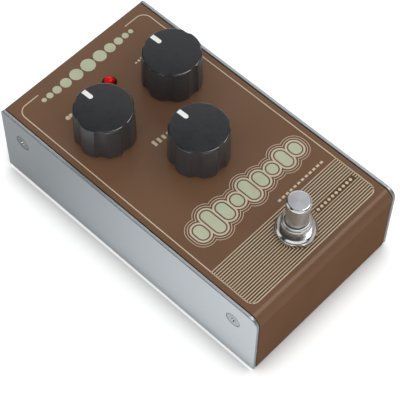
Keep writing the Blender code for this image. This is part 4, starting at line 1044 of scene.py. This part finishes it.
HOUSING_HALF, HOUSING_HEIGHT, HOUSING_ROUND = 8.7 * MM, 17.0 * MM, 1.2 * MM
WELL_RADIUS, WELL_DEPTH, WELL_ROOF = 6.0 * MM, 11.0 * MM, 1.5 * MM
housing_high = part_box("footswitch_lower_nut")[0][2] - HOLE_ROOM
housing_low = housing_high - HOUSING_HEIGHT
BUSH_RADIUS, BUSH_LIP = 5.75 * MM, 4.75 * MM
THREAD_ROOT, BUSH_BORE = 5.35 * MM, 4.42 * MM
PLAIN_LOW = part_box("footswitch_nut")[1][2] - 0.4 * MM
bush_profile = [
    (BUSH_BORE, BUSH_TOP - 0.1 * MM), (BUSH_BORE + 0.1 * MM, BUSH_TOP),
    *arc((BUSH_LIP - 0.15 * MM, BUSH_TOP - 0.2 * MM), 0.2 * MM, 80, 0, 4),
    *arc((BUSH_RADIUS - 0.7 * MM, BUSH_TOP - 1.3 * MM), 0.7 * MM, 80, 0, 7),
    (BUSH_RADIUS, PLAIN_LOW), (THREAD_ROOT, PLAIN_LOW - 0.3 * MM),
    (THREAD_ROOT, housing_high - 0.75 * MM), (BUSH_BORE, housing_high - 0.75 * MM),
    (BUSH_BORE, BUSH_TOP - 0.1 * MM),
]
bush = turned("switch_bush", bush_profile, steps=80)
thread_low, thread_high = housing_high + 0.3 * MM, PLAIN_LOW
ridge = thread("bush_thread", THREAD_ROOT - 0.02 * MM, BUSH_RADIUS, 0.75 * MM, thread_low, thread_high)
stand(joined(bush, ridge), switch_at)
polish(bush)
fit(bush, SATIN_CHROME, "chrome")

housing_foot = (-HOUSING_HALF, -HOUSING_HALF, housing_low)
housing = cube("switch_housing", housing_foot, (HOUSING_HALF, HOUSING_HALF, housing_high))
round_off(housing, HOUSING_ROUND, 5, upright)
with edit(housing):
    pick_faces(housing, lambda at, normal: normal.z < -0.9)
    bpy.ops.mesh.inset(thickness=0.9 * MM)
    bpy.ops.transform.translate(value=(0, 0, 0.5 * MM))
carve(housing, drum("well", WELL_RADIUS, (0, 0, housing_high - WELL_ROOF - WELL_DEPTH), WELL_DEPTH))
carve(housing, drum("throat", 4.6 * MM, (0, 0, housing_high - 3 * MM), 4.0 * MM))
soften(housing, 0.15 * MM, 2)
stand(housing, switch_at)
fit(housing, BLACK_PLASTIC, "black_plastic", "footswitch_body")

lug_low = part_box("footswitch_body")[0][2]
LUG_HALF, LUG_THICK, LUG_ROOT = 1.1 * MM, 0.8 * MM, 1.5 * MM
lug = cube("lug", (-LUG_HALF, -LUG_THICK / 2, lug_low), (LUG_HALF, LUG_THICK / 2, housing_low + LUG_ROOT))
round_off(lug, 0.7 * MM, 4, lambda at, along: abs(along.y) > 0.9 and near(at.z, lug_low))
carve(lug, drum("eye", 0.55 * MM, (0, -MM, lug_low + 1.4 * MM), 2 * MM, REARWARD, 20))
LUG_PITCH = 5.2 * MM
repeat(lug, 3, (LUG_PITCH, 0, 0))
repeat(lug, 3, (0, LUG_PITCH, 0))
lug.name = "switch_lugs"
stand(lug, switch_at - Vector((LUG_PITCH, LUG_PITCH, 0)))
polish(lug)
fit(lug, NICKEL, "nickelled_brass")

nut_low, nut_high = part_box("footswitch_nut")
NUT_CORNER = 15.0 * MM / math.sqrt(3)
NUT_TURN = math.radians(47)
dress_nut = drum("dress_nut", NUT_CORNER, (0, 0, nut_low[2]), nut_high[2] - nut_low[2], UP, 6)
stand(dress_nut, (0, 0, 0), UP, NUT_TURN)
NUT_ROUND = 7.88 * MM
DOME_RADIUS = 5.5 * MM
dome_centre = (2.77 * MM, nut_low[2] - 0.96 * MM)
dome = [
    (0, nut_high[2]), *arc(dome_centre, DOME_RADIUS, 56, 22, 14),
    (NUT_ROUND, nut_low[2] + 0.15 * MM), (NUT_ROUND - 0.15 * MM, nut_low[2]), (0, nut_low[2]),
]
carve(dress_nut, turned("dome", dome, steps=120), "INTERSECT")
carve(dress_nut, drum("bore", BUSH_RADIUS + 0.06 * MM, (0, 0, nut_low[2] - MM), 8 * MM, UP, 80))
blunt(dress_nut, 0.12 * MM, 3, 28)
polish(dress_nut, 25)
stand(dress_nut, switch_at)
fit(dress_nut, CHROME, "chrome", "footswitch_nut")


# %% [markdown]
# ## The sockets
#
# The two signal sockets are nylon boxes with a plated, threaded nose through the rear panel, each held by a
# washer and a chamfered hexagon nut. They are modelled once and copied. The power socket's nose is flush
# with the panel, and its centre pin stands inside it.

# %% Sockets
NOSE, NOSE_ROOT, NOSE_BORE, BORE_DEPTH = 4.7 * MM, 4.4 * MM, 3.3 * MM, 27 * MM
NOSE_ROUND, NOSE_SUNK = 0.35 * MM, 1.9 * MM
jack_low, jack_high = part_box("input_jack")
jack_half = Vector(((jack_high[0] - jack_low[0]) / 2, 0, (jack_high[2] - jack_low[2]) / 2))
jack_face = REAR - SHEET - 0.3 * MM
nose_tip = jack_high[1] - jack_face
body_back = jack_low[1] - jack_face
socket_box = cube("socket_box", (-jack_half.x, -jack_half.z, body_back), (jack_half.x, jack_half.z, 0))
round_off(socket_box, 1.2 * MM, 4, upright)
with edit(socket_box):
    pick_faces(socket_box, lambda at, normal: normal.z < -0.9)
    bpy.ops.mesh.inset(thickness=1.4 * MM)
    bpy.ops.transform.translate(value=(0, 0, 0.6 * MM))
carve(socket_box, drum("box_bore", NOSE_BORE, (0, 0, nose_tip - BORE_DEPTH), BORE_DEPTH + 3 * MM))
carve(socket_box, drum("nose_seat", NOSE_ROOT - 0.1 * MM, (0, 0, -2 * MM), 4 * MM))
soften(socket_box, 0.2 * MM, 2)
nose_profile = [
    (NOSE_BORE, nose_tip - NOSE_ROUND),
    *arc((NOSE_BORE + NOSE_ROUND, nose_tip - NOSE_ROUND), NOSE_ROUND, 180, 90, 4),
    (NOSE_ROOT - 0.15 * MM, nose_tip), (NOSE_ROOT, nose_tip - 0.3 * MM), (NOSE_ROOT, -NOSE_SUNK),
    (NOSE_BORE, -NOSE_SUNK), (NOSE_BORE, nose_tip - NOSE_ROUND),
]
nose = turned("socket_nose", nose_profile, steps=64)
ridge = thread("nose_thread", NOSE_ROOT - 0.02 * MM, NOSE, 0.75 * MM, 0.2 * MM, nose_tip - 0.1 * MM)
joined(nose, ridge)


def hexagon_nut(name, flats, bore, height, corner_drop):
    """A nut round +Z on Z = 0 whose corners are chamfered top and bottom."""
    corner = flats / math.sqrt(3)
    nut = drum(name, corner, (0, 0, 0), height, UP, 6)
    inner = corner - 2.2 * corner_drop
    cone = [
        (0, height), (inner, height), (corner + 0.02 * MM, height - corner_drop),
        (corner + 0.02 * MM, corner_drop), (inner, 0), (0, 0),
    ]
    carve(nut, turned("nut_cone", cone, steps=72), "INTERSECT")
    hole = [
        (0, height + MM), (bore + 0.5 * MM, height + MM),
        (bore + 0.45 * MM, height), (bore, height - 0.4 * MM),
        (bore, 0.4 * MM), (bore + 0.45 * MM, 0), (bore + 0.5 * MM, -MM), (0, -MM),
    ]
    carve(nut, turned("nut_hole", hole, steps=64))
    blunt(nut, 0.07 * MM, 2, 40)
    return nut


washer_high = size("input_jack_washer").y
washer_profile = [
    (6.65 * MM, washer_high), (6.8 * MM, washer_high - 0.15 * MM), (6.8 * MM, 0.12 * MM), (6.7 * MM, 0),
    (4.95 * MM, 0), (4.85 * MM, 0.1 * MM), (4.85 * MM, washer_high - 0.1 * MM), (4.95 * MM, washer_high),
    (6.65 * MM, washer_high),
]
jack_washer = turned("jack_washer", washer_profile, steps=72)
jack_nut = hexagon_nut("jack_nut", 13.0 * MM, NOSE + 0.06 * MM, size("input_jack_nut").y, 0.45 * MM)
for name, nut_turn in (("input", 12), ("output", 40)):
    jack = f"{name}_jack"
    at = Vector((centre(jack).x, jack_face, centre(jack).z))
    fit_copy(socket_box, f"{name}_socket", at, BLACK_PLASTIC, "black_plastic", jack, axis=REARWARD)
    fit_copy(nose, f"{name}_nose", at, NICKEL, "nickelled_brass", axis=REARWARD)
    at.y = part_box(f"{jack}_washer")[0][1]
    fit_copy(jack_washer, f"{name}_washer", at, ZINC, "zinc_steel", f"{jack}_washer", axis=REARWARD)
    at.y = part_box(f"{jack}_nut")[0][1]
    fit_copy(
        jack_nut, f"{name}_nut", at, NICKEL, "nickelled_brass", f"{jack}_nut",
        axis=REARWARD, turn=nut_turn, angle=25,
    )
discard(socket_box, nose, jack_washer, jack_nut)

POWER_NOSE, POWER_BORE, POWER_DEPTH, PIN_RADIUS = 5.2 * MM, 3.2 * MM, 10.5 * MM, 1.0 * MM
power_low, power_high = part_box("power_jack")
power = centre("power_jack")
power_half = Vector((power_high[0] - power_low[0], 0, power_high[2] - power_low[2])) / 2
power_back = power_low[1] - jack_face
power_box = cube(
    "power_box", (-power_half.x, -power_half.z, power_back), (power_half.x, power_half.z, 0),
)
soften(power_box, 0.4 * MM, 3)
mouth = power_high[1] - jack_face
power_nose = turned("power_nose", [
    (0, mouth), (4.9 * MM, mouth), *arc((4.9 * MM, mouth - 0.3 * MM), 0.3 * MM, 80, 0, 4),
    (POWER_NOSE, -MM), (0, -MM),
])
carve(power_box, power_nose, "UNION")
power_bore = [
    (0, mouth + MM), (3.6 * MM, mouth + MM), (3.6 * MM, mouth), (POWER_BORE, mouth - 0.4 * MM),
    (POWER_BORE, mouth - POWER_DEPTH), (0, mouth - POWER_DEPTH),
]
carve(power_box, turned("power_bore", power_bore))
carve(power_box, drum("pin_bore", PIN_RADIUS + 0.05 * MM, (0, 0, -20 * MM), 20 * MM, UP, 32))
power_socket = stand(power_box, (power.x, jack_face, power.z), REARWARD)
power_socket.name = "power_socket"
polish(power_socket)
fit(power_socket, BLACK_PLASTIC, "black_plastic", "power_jack")
pin_low, pin_high = (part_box("power_jack_pin")[k][1] - jack_face for k in (0, 1))
pin_tip = arc((0, pin_high - PIN_RADIUS), PIN_RADIUS, 90, 0, 8)
pin_profile = [*pin_tip, (PIN_RADIUS, pin_low), (0, pin_low)]
pin = turned("power_pin", pin_profile, (power.x, jack_face, power.z), REARWARD, steps=32)
polish(pin)
fit(pin, NICKEL, "nickelled_brass", "power_jack_pin")


# %% [markdown]
# ## The printing
#
# Two inks are screened on the panel: cream for the frame line, the stripes and the small marks, and a pale
# sage for the two large ornaments. Real ink is a film a few hundredths of a millimetre thick, so each print
# is a flat shape given that thickness, and it stays crisp from any distance. The ornaments are plain ones:
# a row of dots that swells and fades, and bars that fall away in three steps, as an echo does. The stripes
# lie on a ground of darker brown, which is printed first and thinner.

# %% Frame line and stripes
FILM = 0.03 * MM
LINE = 0.4 * MM
STRIPE = 0.34 * MM
FRAME_SIDE, FRAME_FRONT, FRAME_REAR = 4.1 * MM, 5.76 * MM, 4.98 * MM
frame_low = Vector((-HALF_WIDTH + FRAME_SIDE, FRONT + FRAME_FRONT, 0)) - Vector((LINE, LINE, 0)) / 2
frame_high = Vector((HALF_WIDTH - FRAME_SIDE, REAR - FRAME_REAR, 0)) + Vector((LINE, LINE, 0)) / 2


def sheet(name, low, high):
    """A flat rectangle on the panel."""
    bpy.ops.object.select_all(action="DESELECT")
    low, high = Vector((low[0], low[1], PANEL)), Vector((high[0], high[1], PANEL))
    bpy.ops.mesh.primitive_plane_add(size=1, location=(low + high) / 2)
    bpy.context.object.scale = (high.x - low.x, high.y - low.y, 1)
    return settle(name)


def film(thing, finish, level=1):
    """Gives a flat print its thickness, just over the paint, and its ink."""
    apply(thing, "SOLIDIFY", thickness=level * FILM, offset=1.0, use_even_offset=True)
    weld(thing)
    fit(thing, finish, "white_plastic")


def rounded_sheet(name, low, high, front, rear):
    """A rectangle on the panel with its front and rear corners rounded."""
    thing = sheet(name, low, high)
    for end_y, radius in ((low[1], front), (high[1], rear)):
        with edit(thing, "VERT"):
            mesh = bmesh.from_edit_mesh(thing.data)
            for point in mesh.verts:
                point.select_set(near(point.co.y, end_y))
            bmesh.update_edit_mesh(thing.data)
            bpy.ops.mesh.bevel(offset=radius, segments=10, affect="VERTICES")
    return thing


frame_line = rounded_sheet("print_frame_line", frame_low, frame_high, 3.2 * MM, 4.0 * MM)
field = another(frame_line, "field")
with edit(frame_line, start="SELECT"):
    bpy.ops.mesh.inset(thickness=LINE)
    bpy.ops.mesh.delete(type="FACE")
FRAME_GAP = 22.7 * MM
for gap_x in (-FRAME_GAP, FRAME_GAP):
    with edit(frame_line):
        pick_faces(frame_line, lambda at, normal: at.y > frame_high.y - LINE and abs(at.x) < 25 * MM)
        bpy.ops.mesh.bisect(plane_co=(gap_x, 0, 0), plane_no=(1, 0, 0))
with edit(frame_line):
    pick_faces(frame_line, lambda at, normal: at.y > frame_high.y - LINE and abs(at.x) < FRAME_GAP)
    bpy.ops.mesh.delete(type="FACE")
film(frame_line, CREAM_INK)

STRIPES = 19
STRIPE_PITCH = 1.0155 * MM
stripes = sheet("print_stripes", (frame_low.x + 0.1 * MM, frame_low.y + STRIPE_PITCH),
                (frame_high.x - 0.1 * MM, frame_low.y + STRIPE_PITCH + STRIPE))
repeat(stripes, STRIPES, (0, STRIPE_PITCH, 0))
film(stripes, CREAM_INK)
ground = sheet("print_ground", (frame_low.x + 0.1 * MM, frame_low.y + 0.1 * MM),
               (frame_high.x - 0.1 * MM, frame_low.y + (STRIPES + 0.3) * STRIPE_PITCH))
film(ground, GROUND_INK, 0.4)
apply(field, "SOLIDIFY", thickness=4 * MM, offset=0.0)
carve(ground, another(field, "ground_field"), "INTERSECT")
carve(stripes, field, "INTERSECT")
for under_switch in (ground, stripes):
    clearance = drum("switch_clearance", BUSH_RADIUS + HOLE_ROOM, (switch.x, switch.y, PANEL - MM), 2 * MM)
    carve(under_switch, clearance)
NOTE_LOW = Vector((10.6 * MM, FRONT + 13.95 * MM, PANEL - MM))
NOTE_HIGH = Vector((frame_high.x - LINE - 1.4 * MM, FRONT + 16.75 * MM, PANEL + MM))
carve(stripes, cube("note_clearance", NOTE_LOW, NOTE_HIGH))
print("stripes:", len(stripes.data.polygons), "faces")


# %% Small marks
def dots(name, places, radius, finish, sides=28):
    """Round spots of ink, one for each place."""
    spots = []
    for number, (x, y) in enumerate(places):
        share = radius[number] if isinstance(radius, list) else radius
        bpy.ops.object.select_all(action="DESELECT")
        bpy.ops.mesh.primitive_circle_add(
            vertices=sides, radius=share, fill_type="NGON", location=(x, y, PANEL),
        )
        spots.append(settle(name if number == 0 else f"{name}_{number}"))
    film(joined(*spots), finish)


def bars(name, boxes, finish):
    """Short bars of ink, one for each box."""
    made = [
        sheet(name if number == 0 else f"{name}_{number}", low, high)
        for number, (low, high) in enumerate(boxes)
    ]
    film(joined(*made), finish)


note_y = (NOTE_LOW.y + NOTE_HIGH.y) / 2
note_places = [(NOTE_LOW.x + 1.3 * MM + k * 1.95 * MM, note_y) for k in range(10)]
dots("print_switch_dots", note_places, 0.62 * MM, CREAM_INK)
LABEL_Y = REAR - 20.4 * MM
LABEL_SPAN = 9.2 * MM
time_x, mix_x = (centre(f"{name}_pot_nut").x for name in ("time", "mix"))
spread = [0, 0.17, 0.42, 0.75, 1]
time_dots = [(time_x - LABEL_SPAN / 2 + LABEL_SPAN * share, LABEL_Y) for share in spread]
dots("print_time_mark", time_dots, [0.95 * MM, 0.85 * MM, 0.75 * MM, 0.65 * MM, 0.55 * MM], CREAM_INK)
mix_bars = [
    ((mix_x - 4.6 * MM + k * 1.5 * MM, LABEL_Y - (0.35 + 0.15 * k) * MM),
     (mix_x - 3.7 * MM + k * 1.5 * MM, LABEL_Y + (0.35 + 0.15 * k) * MM)) for k in range(7)
]
bars("print_mix_mark", mix_bars, CREAM_INK)
repeats_x = centre("repeats_pot_nut").x
repeats_y = REAR - 51.3 * MM
repeat_bars = [
    ((repeats_x - 8.7 * MM + k * 2.2 * MM, repeats_y - 1.3 * MM),
     (repeats_x - 7.5 * MM + k * 2.2 * MM, repeats_y + (1.3 - 0.3 * k) * MM)) for k in range(8)
]
bars("print_repeats_mark", repeat_bars, CREAM_INK)
small_y = FRONT + 27.7 * MM
small_places = [((4.6 + 2.05 * k) * MM, small_y) for k in range(12)]
small_bars = [((x, y - 0.45 * MM), (x + 1.25 * MM, y + 0.45 * MM)) for x, y in small_places]
bars("print_small_dashes", small_bars, CREAM_INK)

# %% [markdown]
# ## The two ornaments
#
# The rear ornament is a row of dots. The large one is drawn as a sign painter builds an inline: the bars
# themselves, then a wider shape round them all, then thinner lines further out. Each outline is the same
# row of bars grown by a step and joined into one shape, with the next smaller one taken out of it.

# %% Ornaments
rear_y = REAR - 8.2 * MM
swell = [1.0, 1.35, 1.75, 2.2, 2.65, 2.95, 2.65, 2.2, 1.75, 1.35, 1.0]
widths = [2 * radius + 0.55 for radius in swell]
rear_dots = []
reach = -sum(widths) / 2
for radius, width in zip(swell, widths):
    rear_dots.append(((reach + width / 2) * MM, rear_y))
    reach += width
dots("print_rear_dots", rear_dots, [radius * MM for radius in swell], SAGE_INK, 40)

ECHO_Y = FRONT + 38.6 * MM
ECHO_X, ECHO_PITCH = 1.0 * MM, 6.2 * MM
ECHO_HALF = 2.15 * MM
HEIGHTS = [6.2, 10.8, 7.6, 5.0, 9.2, 6.4, 4.4, 7.6, 5.2]


def echo(name, grow):
    """The row of bars grown all round by a step, as one solid that passes through the panel's face."""
    solid = None
    for number, height in enumerate(HEIGHTS):
        x = ECHO_X + (number - (len(HEIGHTS) - 1) / 2) * ECHO_PITCH
        half, tall = ECHO_HALF + grow, height * MM / 2 + grow
        low, high = (x - half, ECHO_Y - tall), (x + half, ECHO_Y + tall)
        bar = sheet(name if number == 0 else "bar", low, high)
        with edit(bar, "VERT", start="SELECT"):
            bpy.ops.mesh.bevel(offset=min(half, tall) * 0.98, segments=8, affect="VERTICES")
        apply(bar, "SOLIDIFY", thickness=2 * MM, offset=0.0)
        if solid is None:
            solid = bar
        else:
            carve(solid, bar, "UNION")
    return solid


def band(name, outer, inner, finish):
    """A printed line between two sizes of the row of bars."""
    slab = sheet(name, (-32 * MM, ECHO_Y - 12 * MM), (32 * MM, ECHO_Y + 12 * MM))
    apply(slab, "SOLIDIFY", thickness=FILM, offset=1.0)
    carve(slab, echo("outer", outer), "INTERSECT")
    if inner is not None:
        carve(slab, echo("inner", inner))
    weld(slab)
    fit(slab, finish, "white_plastic")


band("print_echo_bars", 0.0, None, SAGE_INK)
band("print_echo_shadow", 0.55 * MM, 0.0, DARK_INK)
band("print_echo_outline", 1.25 * MM, 0.55 * MM, CREAM_INK)
band("print_echo_inline", 1.6 * MM, 1.25 * MM, DARK_INK)
band("print_echo_line_1", 2.15 * MM, 1.9 * MM, CREAM_INK)
band("print_echo_line_2", 3.1 * MM, 2.9 * MM, CREAM_INK)

# %% [markdown]
# ## The table
#
# The photograph was taken on a glossy white table. The floor is a plain pale sheet. To the camera it adds a
# little light of its own, so it reads as clean white while the pedal's shadow stays on it. That light fades
# close to the pedal, where the table is shaded, except in a thin line under the left plate, which is a
# painted reflection of the plate's bright foot in the table's gloss. To metal it adds less, and more at the
# front than at the rear, so the side plate grows brighter towards the front.

# %% Table
FLOOR_SIZE = 4.0
SHADE_REACH = 11 * MM
bpy.ops.object.select_all(action="DESELECT")
bpy.ops.mesh.primitive_plane_add(size=FLOOR_SIZE)
floor = settle("floor")
table = Finish("table", Roughness=0.4, Specular_IOR_Level=0.4)
open_share = table.node("ShaderNodeAmbientOcclusion", values={"Distance": SHADE_REACH}, output="AO")
table_x, table_y, _ = table.axes()
# Painted reflection: a thin bright line on the table, just under the left plate's foot.
painted_foot_reflection = table_x.between(-HALF_WIDTH - 0.4 * MM, -HALF_WIDTH) * table_x.between(
    -HALF_WIDTH + 0.9 * MM, -HALF_WIDTH + 0.4 * MM)
painted_foot_reflection = painted_foot_reflection * table_y.between(FRONT, FRONT + MM) * table_y.between(REAR, REAR - MM)
to_camera = table.rays("Camera") * (open_share.between(0.35, 1.0, 0.0, 0.45) + 0.42 * painted_foot_reflection)
beside = table_x.between(-HALF_WIDTH, -HALF_WIDTH - 4 * MM)
forward = table_y.between(REAR + 2 * MM, FRONT)
to_metal = 0.88 * table.rays("Glossy") * beside * forward.math("POWER", forward, 0.75)
mottle = table.grain(60 * MM)
table.give(Base_Color=table.blend(mottle, srgb(226, 226, 226), srgb(230, 230, 230)))
table.give(Emission_Color=(1, 1, 1, 1), Emission_Strength=to_camera + to_metal)
floor.data.materials.append(table.material)

# %% [markdown]
# ## The light
#
# A white tent stands round the table and lights it evenly. What chrome and gloss mirror of it is less even:
# a wide bright wall on the camera's side, a bright band along the horizon, grey patches across from the
# camera and at the rear left, and dark cloth between them, which gives the chrome its dark bands. A small,
# very bright patch high at the front right draws the highlight along the front bend. One weak lamp hangs
# overhead and gives the shadow under the pedal a little more form.

# %% Light
world = bpy.data.worlds.new("studio")
bpy.context.scene.world = world
world.use_nodes = True
studio = Graph(world.node_tree)
backdrop = world.node_tree.nodes["Background"]
backdrop.inputs["Color"].default_value = (1, 1, 1, 1)
outward = studio.node("ShaderNodeTexCoord", output="Generated")
across, along, rising = studio.parts(outward)


def patch(direction, low, high, strength):
    """A round patch of the tent, full inside the cosine high and gone outside the cosine low."""
    aim = Vector(direction).normalized()
    product = {"operation": "DOT_PRODUCT"}
    turned_to = studio.node("ShaderNodeVectorMath", product, {0: outward, 1: aim}, "Value")
    return turned_to.between(low, high, 0.0, strength)


nearer = (across + along) * -math.sqrt(0.5)
wall = nearer.between(0.58, 0.7, 0.0, 1.1) * rising.between(0.66, 0.54) * rising.between(0.1, 0.25)
horizon = rising.between(0.2, 0.05) * across.between(0.0, 0.5, 0.05, 0.85)
across_from = patch((0.62, 0.57, 0.54), 0.857, 0.956, 1.25)
strip = patch((0.394, -0.2, 0.9), 0.93, 0.985, 5.0)
tent = 0.05 + wall + horizon + across_from + strip + patch((-0.67, 0.7, 0.25), 0.92, 0.98, 0.9)
even = 0.82 + nearer.between(-0.2, 0.8, 0.0, 0.42)
studio.feed(backdrop.inputs["Strength"], even + studio.rays("Glossy") * (tent - even))


LAMP_PLACE = Vector((0.03, 0.03, 1.1))
bpy.ops.object.light_add(type="AREA", location=LAMP_PLACE)
overhead = bpy.context.object
overhead.name = "over"
overhead.rotation_euler = (-LAMP_PLACE).to_track_quat("-Z", "Y").to_euler()
overhead.data.size = 0.45
overhead.data.energy = 0.6
